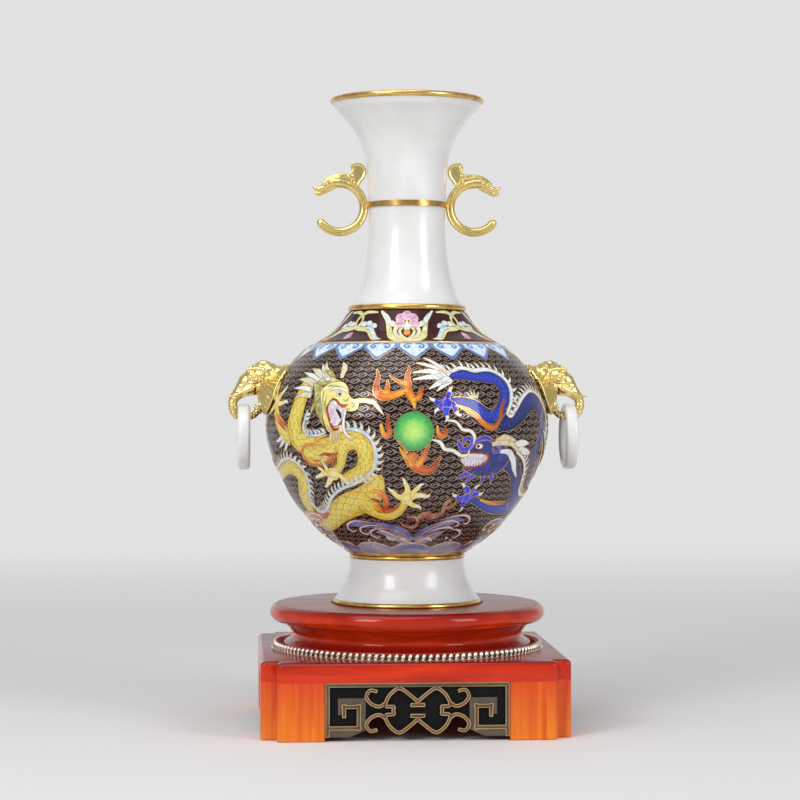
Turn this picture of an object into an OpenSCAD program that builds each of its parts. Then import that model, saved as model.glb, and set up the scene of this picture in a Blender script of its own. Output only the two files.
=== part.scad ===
// Enamelled vase with white stone neck and foot, gilt mounts and loose rings,
// on a turning round plinth over a square wooden stand with pierced brass panels.
// Millimetres, +Z up, the front faces -Y, the origin is under the middle of the stand.

/* [Stand] */
// Side of the square base
base_w = 181; // [150:1:220]
// Height of the square base, from the table to its top face
base_h = 45.4; // [38:0.1:56]
// Side of the square notch cut from each corner
notch = 9.3; // [6:0.1:11]
// Width of each mitred rail of the top frame
rail_w = 34; // [28:1:40]
// Thickness of the top frame
rail_t = 11.5; // [9.5:0.1:14]
// Width of each leg, seen from the front
leg_w = 37; // [30:1:44]
// Height of the panels' lower edge above the table
panel_lift = 2.6; // [1:0.1:5]
// Thickness of a pierced brass panel
fret_t = 2.4; // [1.6:0.1:3.4]
// Thickness of the dark plate behind each panel
back_t = 1; // [0.6:0.1:2]

/* [Turning plinth] */
// Diameter of the plinth
plinth_d = 168; // [150:0.5:175]
// Height of the plinth
plinth_h = 26.2; // [22:0.1:32]
// Depth of the seat that the vase stands in
seat_depth = 1.2; // [0.6:0.1:3]
// Diameter of the circle that the bearing balls run on
race_d = 94; // [80:0.5:104]
// Diameter of the bearing balls
ball_d = 4; // [3:0.1:4.6]
// Diameter of the pivot bolt
pivot_d = 8; // [6:0.1:10]

/* [Vase] */
// Greatest radius of the enamelled body
body_r = 86.7; // [72:0.1:105]
// Height of the enamelled body
body_h = 147.7; // [123:0.1:178]
// Radius where the body meets the foot
foot_top_r = 35; // [29:0.1:42]
// Radius of the stone foot where it is widest
foot_low_r = 44.3; // [38:0.1:50]
// Height of the stone foot
foot_h = 25.1; // [20:0.1:31]
// Radius where the body meets the collar
collar_r = 35.6; // [30:0.1:40]
// Height of the lower stone of the neck
neck_low_h = 59.6; // [49:0.1:72]
// Height of the upper stone of the neck
neck_up_h = 60.2; // [50:0.1:73]
// Radius of the neck where it is narrowest
neck_r = 23.4; // [21:0.1:27]
// Radius of the gilt rim
rim_r = 47; // [40:0.1:56]
// Thickness of the metal of the body
body_wall = 2.4; // [1.6:0.1:3.5]
// Thickness of the stone of the neck
stone_wall = 5.5; // [4.5:0.1:6.5]

/* [Gilt mounts] */
// Radius of the curled dragon handles, to the middle of the bar
curl_r = 14.7; // [12:0.1:18]
// Thickness of the dragon handles' bar
curl_bar = 4.8; // [4:0.1:5.6]
// Outer diameter of the loose stone rings
ring_d = 40; // [34:0.1:46]
// Thickness of the loose rings from the inner to the outer edge
ring_band = 4.75; // [4:0.05:5.5]
// Width of the loose rings along their own axis
ring_w = 7.7; // [6:0.1:8.2]
// Clearance between a loose ring and the trunk that it hangs on
ring_gap = 0.3; // [0.2:0.05:0.6]

/* [Hidden] */
$fn = 64;
hull_fn = 24;
slip = 0.1;
half = base_w / 2;

// Stand
leg_h = base_h - rail_t;
leg_in = half - leg_w;
edge_round = 3;
dowel_r = 3;
dowel_edge = 11.1;
dowel_deep = 22.9;
dowel_in_leg = 12;
dowel_in_rail = 8;
deck_half = half - rail_w;
deck_t = 9;
tongue = 6;
tongue_t = 4;
tongue_drop = 3.5;
tongue_gap = 0.3;
panel_set = 1;
panel_grip = 2.5;
panel_gap = 0.4;
panel_tongue = panel_grip - slip;
head_gap = 0.3;
panel_half = leg_in - panel_gap;
panel_h = leg_h - panel_lift - head_gap;
line_w = 2.2;
scroll_w = 1.9;
line_soft = 0.4;
line_join = 0.01;
clasp_w = 7.6;
relief = 0.8;
link_share = 0.95;

// Plinth and bearing
plinth_r = plinth_d / 2;
lift = 0.6;
plinth_z = base_h + lift;
plinth_top = plinth_z + plinth_h;
bull_r = 0.2 * plinth_h;
flange_r = plinth_r - 8.2;
flange_t = 3.6;
waist_r = plinth_r - 13.5;
race_r = race_d / 2;
race_half = 7;
race_t = 1.8;
ball_r = ball_d / 2;
ball_sink = 0.4;
ball_z = base_h + race_t - ball_sink + ball_r;
ball_count = 24;
race_up_z = ball_z + ball_r - ball_sink;
pocket_z = race_up_z + race_t;
pocket_gap = 2;
screw_r = 1.5;
screw_head = 2.8;
screw_len = 7;
pivot_r = pivot_d / 2;
bush_r = pivot_r + 2.5;
bush_h = 12;
run_gap = 0.06;
nut_pocket_r = 1.6 * pivot_d;
pivot_head_h = 4;
pivot_nut_h = 4;
bead_in = flange_r + 1.8;
bead_w = 5.8;
bead_strip = 0.8;
bead_r = 2.2;

// Heights of the vase's sections, from the seat up
vase_z = plinth_top - seat_depth;
foot_ring_h = 3.7;
thin_ring_h = 2.6;
collar_h = 3.9;
neck_ring_h = 3.3;
rim_h = 3.4;
foot_z = vase_z + foot_ring_h;
upper_ring_z = foot_z + foot_h;
body_z = upper_ring_z + thin_ring_h;
collar_z = body_z + body_h;
neck_low_z = collar_z + collar_h;
neck_ring_z = neck_low_z + neck_low_h;
neck_up_z = neck_ring_z + neck_ring_h;
rim_z = neck_up_z + neck_up_h;
foot_ring_r = foot_low_r + 1.1;
seat_r = foot_ring_r + 1.2;
foot_wall = 6;
lip_t = 1.2;
lip_h = 2.4;
neck_foot_r = collar_r - 2.2;
rim_stone_r = rim_r - 1.8;
neck_bore = neck_r - stone_wall;
tie_r = 3;
tie_washer_r = 9;
tie_washer_t = 0.8;
tie_nut_h = 2.4;
wire_r = 0.45;
shoulder_at = 0.869;

// Elephant heads: the stud meets the wall square at this height of the body
head_at = 0.681;
stud_r = 2;
stud_len = 7;
stud_nut_h = 2.4;
washer_seat = 0.25;
hook_r = 2.4;
hook_x = 17.5;
hook_drop = 16.8;
handle_drop = 1.5;
peg_r = 1.1;
peg_len = 3;

function blend(a, b, f) = a + (b - a) * f;
function reversed(p) = [for (i = [len(p) - 1 : -1 : 0]) p[i]];
function polar(r, a) = r * [cos(a), sin(a)];
function arc(c, r, a, b, n) = [for (i = [0 : n]) c + polar(r, blend(a, b, i / n))];

// Smooth curve through the points of p, with the given steps between two of them
function curve_point(p, i, t) =
    let (a = p[max(i - 1, 0)], b = p[i], c = p[i + 1], d = p[min(i + 2, len(p) - 1)])
    0.5 * (2 * b + (c - a) * t + (2 * a - 5 * b + 4 * c - d) * t * t + (3 * b - a - 3 * c + d) * t * t * t);
function curve(p, steps) = concat(
    [for (i = [0 : len(p) - 2]) for (k = [0 : steps - 1]) curve_point(p, i, k / steps)],
    [p[len(p) - 1]]);

// The points of p moved d to the left of the way along them
function left_of(p, i) =
    let (v = p[min(i + 1, len(p) - 1)] - p[max(i - 1, 0)])
    [-v[1], v[0]] / norm(v);
function moved(p, d) = [for (i = [0 : len(p) - 1]) p[i] + d * left_of(p, i)];

// Inner face of a turned wall of thickness t, which is measured level at both ends
function inner_face(p, t) =
    let (n = len(p) - 1)
    [for (i = [0 : n]) [p[i][0] - ((i == 0 || i == n) ? t : t / abs(left_of(p, i)[0])), p[i][1]]];

// Outline of the body: share of the swell from the end radius, share of the height
body_low = [[0, 0], [0.361, 0.094], [0.664, 0.219], [0.853, 0.343], [0.959, 0.439], [1, 0.53]];
body_up = [[0.959, 0.634], [0.863, 0.717], [0.706, 0.783], [0.526, 0.842], [0.395, 0.869],
    [0.227, 0.904], [0.108, 0.945], [0, 1]];
body_line = curve(concat(
    [for (p = body_low) [blend(foot_top_r, body_r, p[0]), p[1] * body_h]],
    [for (p = body_up) [blend(collar_r, body_r, p[0]), p[1] * body_h]]), 3);
body_table = [for (p = body_line) [p[1], p[0]]];
function body_at(h) = lookup(h, body_table);

// Outlines of the stones, as [share of the flare, share of the height]
foot_shape = [[1, 0], [0.72, 0.143], [0.41, 0.339], [0.15, 0.586], [0.04, 0.8], [0, 1]];
neck_low_shape = [[1, 0], [0.69, 0.117], [0.46, 0.24], [0.275, 0.364], [0.14, 0.528], [0.04, 0.69],
    [0, 0.83], [0, 1]];
neck_up_shape = [[0, 0], [0.03, 0.3], [0.09, 0.465], [0.21, 0.611], [0.41, 0.741], [0.68, 0.864],
    [0.91, 0.945], [1, 1]];
foot_line = curve([for (p = foot_shape) [blend(foot_top_r, foot_low_r, p[0]), p[1] * foot_h]], 3);
neck_low_line = curve([for (p = neck_low_shape) [blend(neck_r, neck_foot_r, p[0]), p[1] * neck_low_h]], 3);
neck_up_line = curve(
    [for (p = neck_up_shape) [blend(neck_r + 0.5, rim_stone_r, p[0]), p[1] * neck_up_h]], 3);

head_h = head_at * body_h;
head_x = body_at(head_h);
head_z = body_z + head_h;
head_tilt = atan((body_at(head_h - 2) - body_at(head_h + 2)) / 4);
ring_r = ring_d / 2;
ring_x = head_x + hook_x;
hook_z = head_z - hook_drop;
ring_z = hook_z + hook_r + ring_gap - (ring_r - ring_band);
handle_x = neck_r + 0.8 + curl_bar / 2 + curl_r;
handle_z = neck_ring_z + neck_ring_h / 2 - handle_drop;

// ---- shared shapes

// Turns what faces the front (-Y) to side k: 0 front, 1 right, 2 back, 3 left
module to_side(k) {
    rotate([0, 0, 90 * k]) children();
}

// Plan of the base: a square with a notch at each corner and softened edges
module base_plan() {
    offset(r = edge_round, $fn = 32)
        offset(delta = -edge_round)
            difference() {
                square(base_w, center = true);
                for (x = [-1, 1], y = [-1, 1])
                    translate([x * half, y * half]) square(2 * notch, center = true);
            }
}

// A rod with one radius at each end, from point a to point b
module rod(a, b, ra, rb) {
    v = b - a;
    translate(a)
        rotate([0, acos(v[2] / norm(v)), atan2(v[1], v[0])])
            cylinder(h = norm(v), r1 = ra, r2 = rb);
}

// A chain of balls joined by slightly thinner rods; each point is [x, y, z, radius]
module chain(p) {
    for (q = p)
        translate([q[0], q[1], q[2]]) sphere(r = q[3]);
    for (i = [0 : len(p) - 2])
        rod([p[i][0], p[i][1], p[i][2]], [p[i + 1][0], p[i + 1][1], p[i + 1][2]],
            link_share * p[i][3], link_share * p[i + 1][3]);
}

// A flat ring with a round outer edge
module round_edge_ring(outer, inner, h) {
    rotate_extrude() {
        translate([inner, 0]) square([outer - h / 2 - inner, h]);
        translate([outer - h / 2, h / 2]) circle(r = h / 2);
    }
}

module tube(outer, inner, h) {
    difference() {
        cylinder(h = h, r = outer);
        translate([0, 0, -1]) cylinder(h = h + 2, r = inner);
    }
}

// ---- square stand

// One leg; the panels slide down into the slots in its two inner sides
module leg(sx, sy) {
    slot_w = fret_t + back_t;
    slot_at = half - panel_set - slot_w;
    color("orangered")
        mirror([sx < 0 ? 1 : 0, 0, 0])
            mirror([0, sy < 0 ? 1 : 0, 0])
                difference() {
                    linear_extrude(leg_h)
                        intersection() {
                            base_plan();
                            translate([leg_in, leg_in]) square(leg_w);
                        }
                    translate([leg_in - 1, slot_at, panel_lift]) cube([panel_grip + 1, slot_w, leg_h]);
                    translate([slot_at, leg_in - 1, panel_lift]) cube([slot_w, panel_grip + 1, leg_h]);
                    dowel_set(1, 1);
                }
}

// The two dowels over one leg, one in each of the rails that meet there
module dowel_set(sx, sy) {
    near = half - dowel_deep;
    far = half - dowel_edge;
    for (p = [[near, far], [far, near]])
        translate([sx * p[0], sy * p[1], leg_h - dowel_in_leg])
            cylinder(h = dowel_in_leg + dowel_in_rail, r = dowel_r);
}

module dowels() {
    color("burlywood")
        for (sx = [-1, 1], sy = [-1, 1]) dowel_set(sx, sy);
}

// A rail of the top frame, cut to 45 degrees at both ends
module rail(k) {
    color("firebrick")
        to_side(k)
            difference() {
                translate([0, 0, leg_h])
                    linear_extrude(rail_t)
                        intersection() {
                            base_plan();
                            polygon([[-half, -half], [half, -half],
                                [deck_half, -deck_half], [-deck_half, -deck_half]]);
                        }
                translate([-deck_half - tongue, -deck_half - tongue, base_h - tongue_drop - tongue_t])
                    cube([2 * (deck_half + tongue), tongue + 1, tongue_t]);
                for (sx = [-1, 1]) dowel_set(sx, -1);
            }
}

// The loose board inside the frame, with a tongue all round
module deck_board() {
    reach = deck_half + tongue - tongue_gap;
    color("firebrick")
        difference() {
            union() {
                translate([-deck_half, -deck_half, base_h - deck_t])
                    cube([2 * deck_half, 2 * deck_half, deck_t]);
                translate([-reach, -reach, base_h - tongue_drop - tongue_t])
                    cube([2 * reach, 2 * reach, tongue_t]);
            }
            translate([0, 0, base_h - deck_t - 1]) cylinder(h = deck_t + 2, r = pivot_r);
            race_lower_screws();
        }
}

// ---- pierced panels: points are [share of the half width, share of the height]

key_line = [[-0.97, 0.168], [-0.64, 0.168], [-0.64, 0.565], [-0.8, 0.565], [-0.8, 0.41]];
loop_top = [[0, 0.65], [-0.09, 0.785], [-0.203, 0.905], [-0.303, 0.785], [-0.352, 0.632]];
loop_cusp = [[-0.352, 0.632], [-0.337, 0.565], [-0.262, 0.56], [-0.269, 0.49]];
scroll = [[-0.352, 0.632], [-0.42, 0.565], [-0.51, 0.623], [-0.559, 0.752], [-0.518, 0.868],
    [-0.448, 0.848]];
fret_mid = 0.49;
clasp_at = [0.39, 0.59];
ground_foot = [[-0.74, 0], [-0.64, 0.07], [-0.565, 0.13]];
ground_top = [[-0.565, 0.72], [-0.866, 0.72], [-0.866, 0.41], [-0.8, 0.41], [-0.8, 0.565],
    [-0.64, 0.565], [-0.64, 0.168], [-1, 0.168]];
arch_left = [[-0.577, 0.13], [-0.57, 0.2], [-0.51, 0.357], [-0.42, 0.415], [-0.352, 0.348],
    [-0.303, 0.203], [-0.203, 0.093], [-0.09, 0.205]];
arch_middle = [0, 0.33];
arch_start = 0.7;

function placed(p) = [for (q = p) [q[0] * panel_half, panel_lift + q[1] * panel_h]];
function flipped(p) = [for (q = p) [q[0], 2 * fret_mid - q[1]]];
function mirrored(p) = [for (q = p) [-q[0], q[1]]];

module stroke(p, w) {
    polygon(concat(moved(p, w / 2), reversed(moved(p, -w / 2))));
}

// All raised lines of a panel, with their corners softened
module fret_lines() {
    offset(r = line_soft, $fn = 8) {
        for (side = [0, 1])
            mirror([side, 0]) {
                for (p = [loop_top, loop_cusp, scroll])
                    for (q = [p, flipped(p)])
                        stroke(curve(placed(q), 3), scroll_w - 2 * line_soft);
                for (i = [0 : len(key_line) - 2])
                    stroke(square_ends(placed([key_line[i], key_line[i + 1]])), line_w - 2 * line_soft);
            }
        for (v = clasp_at)
            translate([0, panel_lift + v * panel_h])
                square([clasp_w, line_w - 2 * line_soft], center = true);
    }
    panel_frame();
}

// A straight stretch lengthened by half its width, so that corners close
function square_ends(p) =
    let (u = (p[1] - p[0]) / norm(p[1] - p[0]) * line_w / 2)
    [p[0] - u, p[1] + u];

// The low grey ground of the key pattern, with its curved lower edge
module key_ground() {
    for (side = [0, 1])
        mirror([side, 0])
            polygon(concat([[-panel_half, panel_lift]], curve(placed(ground_foot), 3), placed(ground_top)));
}

module panel_frame() {
    difference() {
        translate([-panel_half, panel_lift]) square([2 * panel_half, panel_h]);
        translate([-panel_half + line_w, panel_lift - 1])
            square([2 * (panel_half - line_w), panel_h + 1 - line_w]);
    }
}

// Stands a flat drawing up in the front of the stand, from depth d to depth d + t
module upright(d, t) {
    translate([0, -half + panel_set + d + t, 0])
        rotate([90, 0, 0])
            linear_extrude(t) children();
}

module fret(k) {
    color("darkgoldenrod")
        to_side(k) {
            upright(0, fret_t) offset(delta = line_join) fret_lines();
            upright(relief, fret_t - relief) key_ground();
            for (side = [0, 1])
                mirror([side, 0, 0])
                    upright(relief, fret_t - relief)
                        translate([panel_half - 1, panel_lift]) square([1 + panel_tongue, panel_h]);
        }
}

// The plate behind the panel; its lower edge follows the lower scrolls
module backing(k) {
    reach = panel_half + panel_tongue;
    top = panel_lift + panel_h;
    low = panel_lift + 1;
    inset = arch_start * panel_half;
    arch = curve(placed(concat(arch_left, [arch_middle], reversed(mirrored(arch_left)))), 3);
    color("black")
        to_side(k)
            upright(fret_t, back_t)
                polygon(concat([[-reach, top], [-reach, low], [-inset, low]], arch,
                    [[inset, low], [reach, low], [reach, top]]));
}

// ---- bearing and pivot

module bead_ring() {
    color("gold")
        translate([0, 0, base_h])
            rotate_extrude() {
                translate([bead_in, 0]) square([bead_w, bead_strip]);
                intersection() {
                    translate([bead_in + bead_r + 0.2, bead_strip]) circle(r = bead_r);
                    translate([bead_in, 0]) square([bead_w, 2 * bead_r]);
                }
            }
}

module screws_at(z, dir) {
    for (a = [45 : 90 : 315])
        rotate([0, 0, a])
            translate([race_r + 0.72 * race_half, 0, z])
                mirror([0, 0, dir]) {
                    cylinder(h = screw_len, r = screw_r);
                    cylinder(h = race_t, r1 = screw_head, r2 = screw_r);
                }
}

module race(z) {
    translate([0, 0, z])
        rotate_extrude()
            translate([race_r - race_half, 0]) square([2 * race_half, race_t]);
}

// Ball track as wide as the balls plus a clearance
module track(extra) {
    translate([0, 0, ball_z])
        rotate_extrude()
            translate([race_r, 0]) circle(r = ball_r + extra);
}

module race_lower_screws() {
    color("silver") screws_at(base_h + race_t, 1);
}

module race_lower() {
    color("silver")
        difference() {
            race(base_h);
            track(0);
            race_lower_screws();
        }
}

module bearing_balls() {
    color("silver")
        for (i = [0 : ball_count - 1])
            rotate([0, 0, 360 * i / ball_count])
                translate([race_r, 0, ball_z]) sphere(r = ball_r);
}

module pivot_bolt() {
    color("silver") {
        translate([0, 0, base_h - deck_t - pivot_head_h])
            cylinder(h = pivot_head_h, r = pivot_d, $fn = 6);
        translate([0, 0, base_h - deck_t - 1])
            cylinder(h = pocket_z + bush_h - base_h + deck_t, r = pivot_r);
    }
}

module pivot_nut() {
    color("silver")
        difference() {
            translate([0, 0, base_h]) cylinder(h = pivot_nut_h, r = pivot_d, $fn = 6);
            translate([0, 0, base_h - 1]) cylinder(h = pivot_nut_h + 2, r = pivot_r);
        }
}

// ---- turning plinth

module plinth() {
    cove = curve([[flange_r - 2, flange_t], [waist_r + 0.9, 0.3 * plinth_h - 2.2],
        [waist_r, 0.3 * plinth_h], [waist_r + 1.2, 0.42 * plinth_h],
        [waist_r + 4.4, 0.54 * plinth_h], [plinth_r - bull_r, plinth_h - 2 * bull_r]], 4);
    color("firebrick")
        difference() {
            translate([0, 0, plinth_z])
                rotate_extrude()
                    polygon(concat([[0, 0]],
                        arc([flange_r - flange_t / 2, flange_t / 2], flange_t / 2, -90, 90, 8), cove,
                        arc([plinth_r - bull_r, plinth_h - bull_r], bull_r, -80, 90, 16), [[0, plinth_h]]));
            translate([0, 0, vase_z]) cylinder(h = seat_depth + 1, r = seat_r);
            translate([0, 0, plinth_z - 1])
                tube(race_r + race_half + pocket_gap, race_r - race_half - pocket_gap,
                    pocket_z - plinth_z + 1);
            translate([0, 0, plinth_z - 1]) cylinder(h = pocket_z - plinth_z + 1, r = nut_pocket_r);
            translate([0, 0, pocket_z - 1]) cylinder(h = bush_h + 1.6, r = bush_r);
            race_upper_screws();
        }
}

module race_upper_screws() {
    color("silver") screws_at(race_up_z, 0);
}

module race_upper() {
    color("silver")
        difference() {
            race(race_up_z);
            track(slip);
            race_upper_screws();
        }
}

module bushing() {
    color("goldenrod")
        translate([0, 0, pocket_z]) tube(bush_r, pivot_r + run_gap, bush_h + 0.6);
}

// ---- vase: stones and gilt rings, from the foot up

// Lower gilt ring of the foot, with the plate that the tie rod pulls on
module foot_ring_lower() {
    inner = foot_low_r - foot_wall;
    color("gold")
        difference() {
            union() {
                translate([0, 0, vase_z]) round_edge_ring(foot_ring_r, inner - 2, foot_ring_h);
                translate([0, 0, foot_z]) cylinder(h = 1.5, r = inner - slip);
            }
            translate([0, 0, foot_z - 1]) cylinder(h = 4, r = tie_r + slip);
        }
}

module foot_stone() {
    color("ivory")
        difference() {
            translate([0, 0, foot_z])
                rotate_extrude()
                    polygon(concat(foot_line, reversed(inner_face(foot_line, foot_wall))));
            translate([0, 0, foot_z - 1]) cylinder(h = 2.6, r = foot_low_r - foot_wall);
        }
}

module foot_ring_upper() {
    inner = foot_top_r - foot_wall;
    color("gold") {
        translate([0, 0, upper_ring_z])
            round_edge_ring(foot_top_r + 0.5, inner - lip_t - slip, thin_ring_h);
        translate([0, 0, upper_ring_z - lip_h]) tube(inner - slip, inner - lip_t - slip, lip_h);
    }
}

// Everything inside the outer face of the body, for cutting what sits on it
module body_solid() {
    translate([0, 0, body_z])
        rotate_extrude()
            polygon(concat([[0, 0]], body_line, [[0, body_h]]));
}

module body_shell() {
    inner = [for (p = inner_face(body_line, body_wall)) if (p[1] > body_wall) p];
    color("sienna")
        difference() {
            translate([0, 0, body_z])
                rotate_extrude()
                    polygon(concat([[0, 0]], body_line, reversed(inner),
                        [[inner[0][0] - 2, body_wall], [0, body_wall]]));
            translate([0, 0, body_z - 1]) cylinder(h = body_wall + 2, r = tie_r + slip);
            for (s = [0, 1])
                mirror([s, 0, 0])
                    at_stud()
                        translate([0, 0, -stud_len - 1]) cylinder(h = 2 * stud_len, r = stud_r + slip);
            wire_ring();
        }
}

// The raised wire round the shoulder
module wire_ring() {
    translate([0, 0, body_z + shoulder_at * body_h])
        rotate_extrude()
            translate([body_at(shoulder_at * body_h), 0]) circle(r = wire_r);
}

module shoulder_wire() {
    color("gold") wire_ring();
}

module collar_ring() {
    mouth = collar_r - body_wall - slip;
    bore = neck_foot_r - stone_wall;
    color("gold") {
        translate([0, 0, collar_z]) round_edge_ring(collar_r + 0.6, bore, collar_h);
        translate([0, 0, collar_z - lip_h]) tube(mouth, mouth - lip_t, lip_h);
        translate([0, 0, neck_low_z]) tube(bore + lip_t, bore, lip_h);
    }
}

// A stone of the neck, bored for the gilt lips at both ends
module neck_stone(line, h, low_bore, high_bore) {
    difference() {
        rotate_extrude()
            polygon(concat(line, reversed(inner_face(line, stone_wall))));
        translate([0, 0, -1]) cylinder(h = 1 + lip_h + slip, r = low_bore + lip_t + slip);
        translate([0, 0, h - lip_h - slip]) cylinder(h = 1 + lip_h + slip, r = high_bore + lip_t + slip);
    }
}

module neck_stone_lower() {
    color("ivory")
        translate([0, 0, neck_low_z])
            neck_stone(neck_low_line, neck_low_h, neck_foot_r - stone_wall, neck_bore);
}

module neck_stone_upper() {
    color("ivory")
        translate([0, 0, neck_up_z])
            neck_stone(neck_up_line, neck_up_h, neck_bore, rim_stone_r - stone_wall);
}

module neck_ring() {
    color("gold")
        difference() {
            union() {
                translate([0, 0, neck_ring_z]) tube(neck_r + 0.8, neck_bore, neck_ring_h);
                translate([0, 0, neck_ring_z - lip_h])
                    tube(neck_bore + lip_t, neck_bore, neck_ring_h + 2 * lip_h);
            }
            for (s = [0, 1])
                mirror([s, 0, 0]) handle_peg();
        }
}

module rim_ring() {
    bore = rim_stone_r - stone_wall;
    color("gold") {
        translate([0, 0, rim_z]) round_edge_ring(rim_r, bore, rim_h);
        translate([0, 0, rim_z - lip_h]) tube(bore + lip_t, bore, lip_h);
    }
}

// ---- tie rod through the foot

module tie_rod() {
    color("silver")
        translate([0, 0, foot_z - tie_washer_t - tie_nut_h])
            cylinder(h = body_z + body_wall + 3 * tie_nut_h + 2 - foot_z, r = tie_r);
}

module tie_washers() {
    color("silver")
        for (z = [foot_z - tie_washer_t, body_z + body_wall])
            translate([0, 0, z]) tube(tie_washer_r, tie_r + slip, tie_washer_t);
}

module tie_nuts() {
    color("silver")
        for (z = [foot_z - tie_washer_t - tie_nut_h, body_z + body_wall + tie_washer_t])
            translate([0, 0, z])
                difference() {
                    cylinder(h = tie_nut_h, r = 1.9 * tie_r, $fn = 6);
                    translate([0, 0, -1]) cylinder(h = tie_nut_h + 2, r = tie_r);
                }
}

// ---- dragon handles on the neck ring: the curl is open on the outer side

module handle_peg() {
    translate([neck_r + 0.8 - peg_len, 0, neck_ring_z + neck_ring_h / 2])
        rotate([0, 90, 0]) cylinder(h = peg_len + 2, r = peg_r);
}

// Points from the top of the curl: [outwards, sideways, up, radius]
dragon_snout = [[1, 0, 0, curl_bar / 2], [5.5, 0, 1.2, 3.2], [11, 0, -2.4, 2.2], [15, 0, -3.6, 1.3]];
dragon_jaw = [[7, 0, -2.2, 1.6], [13, 0, -6.6, 1]];
dragon_mane = [[-3, -1], [-8, 1], [-13.5, 7], [-14.8, 12.5], [-9, 11], [-7.5, 8.5], [-3.5, 3.5],
    [5.5, 3.4]];
mane_t = 3.2;
curl_start = 86;
curl_sweep = 236;
curl_tip = 4;

module dragon_handle() {
    bar = curl_bar / 2;
    curl_end = curl_start + curl_sweep;
    translate([handle_x, 0, handle_z]) {
        rotate([90, 0, 0])
            rotate_extrude(angle = curl_sweep, start = curl_start)
                translate([curl_r, 0]) circle(r = bar);
        chain([for (a = [curl_end, curl_end + curl_tip]) [curl_r * cos(a), 0, curl_r * sin(a), bar * 0.9]]);
        translate([0, 0, curl_r]) {
            chain(dragon_snout);
            chain(dragon_jaw);
            translate([0, mane_t / 2, 0])
                rotate([90, 0, 0])
                    linear_extrude(mane_t) polygon(dragon_mane);
        }
    }
    handle_peg();
}

module dragon_handle_right() {
    color("gold") dragon_handle();
}

module dragon_handle_left() {
    color("gold") mirror([1, 0, 0]) dragon_handle();
}

// ---- elephant heads bolted to the body

// Moves to the outer face of the body at the stud, with +Z along the wall's outward normal
module at_stud() {
    translate([head_x, 0, head_z]) rotate([0, 90 - head_tilt, 0]) children();
}

// Points from the outer face of the body at the stud: [outwards, sideways, up, radius].
// The hooked end of the trunk is as wide as the loose ring and leaves it room to swing
ring_out = hook_x + ring_w / 2;
ring_in = hook_x - ring_w / 2;
skull = [[-1, 0, 6, 9], [6, 0, 8.5, 9.3], [15, 0, 4, 7], [9, 0, 2, 6.4]];
trunk = [[17, 0, 1.6, 5.4], [21.6, 0, -2, 4.4], [ring_out + 3.85, 0, -6.5, 3.3],
    [ring_out + 3.95, 0, -11, 2.9], [ring_out + 2.95, 0, -14.4, 2.6],
    [ring_out + 0.25, 0, -hook_drop, hook_r]];
hook_bar = [[ring_out + 0.65, 0, -hook_drop], [ring_in - 1.65, 0, -hook_drop]];
trunk_tip = [[ring_in - 1.65, 0, -hook_drop, hook_r], [ring_in - 4.05, 0, -15.2, 2.2],
    [ring_in - 4.85, 0, -12.2, 2.3]];
tusk = [[18, 5, -1, 2], [24, 6.6, -4, 1.6], [28, 6.8, -4.6, 0.8]];
ear = [[3, 13], [9.5, 9], [11, 2], [9, -5], [8.5, -11], [4.5, -15.5], [0, -12], [-4, 0], [-3, 9],
    [3, 13]];
ear_t = 2.2;
ear_side = 7.6;
ear_turn = 8;

module elephant_head() {
    difference() {
        translate([head_x, 0, head_z]) {
            hull()
                for (q = skull)
                    translate([q[0], q[1], q[2]]) sphere(r = q[3], $fn = hull_fn);
            chain(trunk);
            rod(hook_bar[0], hook_bar[1], hook_r, hook_r);
            chain(trunk_tip);
            for (side = [0, 1])
                mirror([0, side, 0]) {
                    chain(tusk);
                    rotate([0, 0, ear_turn])
                        translate([0, ear_side + ear_t / 2, 0])
                            rotate([90, 0, 0])
                                linear_extrude(ear_t) polygon(curve(ear, 3));
                }
        }
        body_solid();
    }
    at_stud()
        translate([0, 0, -body_wall - stud_len]) cylinder(h = body_wall + stud_len + 3, r = stud_r);
}

module elephant_head_right() {
    color("gold") elephant_head();
}

module elephant_head_left() {
    color("gold") mirror([1, 0, 0]) elephant_head();
}

module head_washers() {
    color("silver")
        for (s = [0, 1])
            mirror([s, 0, 0])
                at_stud()
                    translate([0, 0, -body_wall - washer_seat - tie_washer_t])
                        tube(2.4 * stud_r, stud_r, tie_washer_t);
}

module head_nuts() {
    color("silver")
        for (s = [0, 1])
            mirror([s, 0, 0])
                at_stud()
                    translate([0, 0, -body_wall - washer_seat - tie_washer_t - stud_nut_h])
                        difference() {
                            cylinder(h = stud_nut_h, r = 1.9 * stud_r, $fn = 6);
                            translate([0, 0, -1]) cylinder(h = stud_nut_h + 2, r = stud_r);
                        }
}

// ---- loose rings

module loose_ring() {
    soft = 0.45 * ring_band;
    translate([ring_x, 0, ring_z])
        rotate([0, 90, 0])
            rotate_extrude() {
                translate([ring_r - ring_band, -ring_w / 2 + soft]) square([ring_band, ring_w - 2 * soft]);
                translate([ring_r - ring_band + soft, -ring_w / 2]) square([ring_band - 2 * soft, ring_w]);
                for (x = [ring_r - ring_band + soft, ring_r - soft])
                    for (y = [-ring_w / 2 + soft, ring_w / 2 - soft])
                        translate([x, y]) circle(r = soft);
            }
}

module loose_ring_right() {
    color("white") loose_ring();
}

module loose_ring_left() {
    color("white") mirror([1, 0, 0]) loose_ring();
}

// ---- named sub-parts

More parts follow.
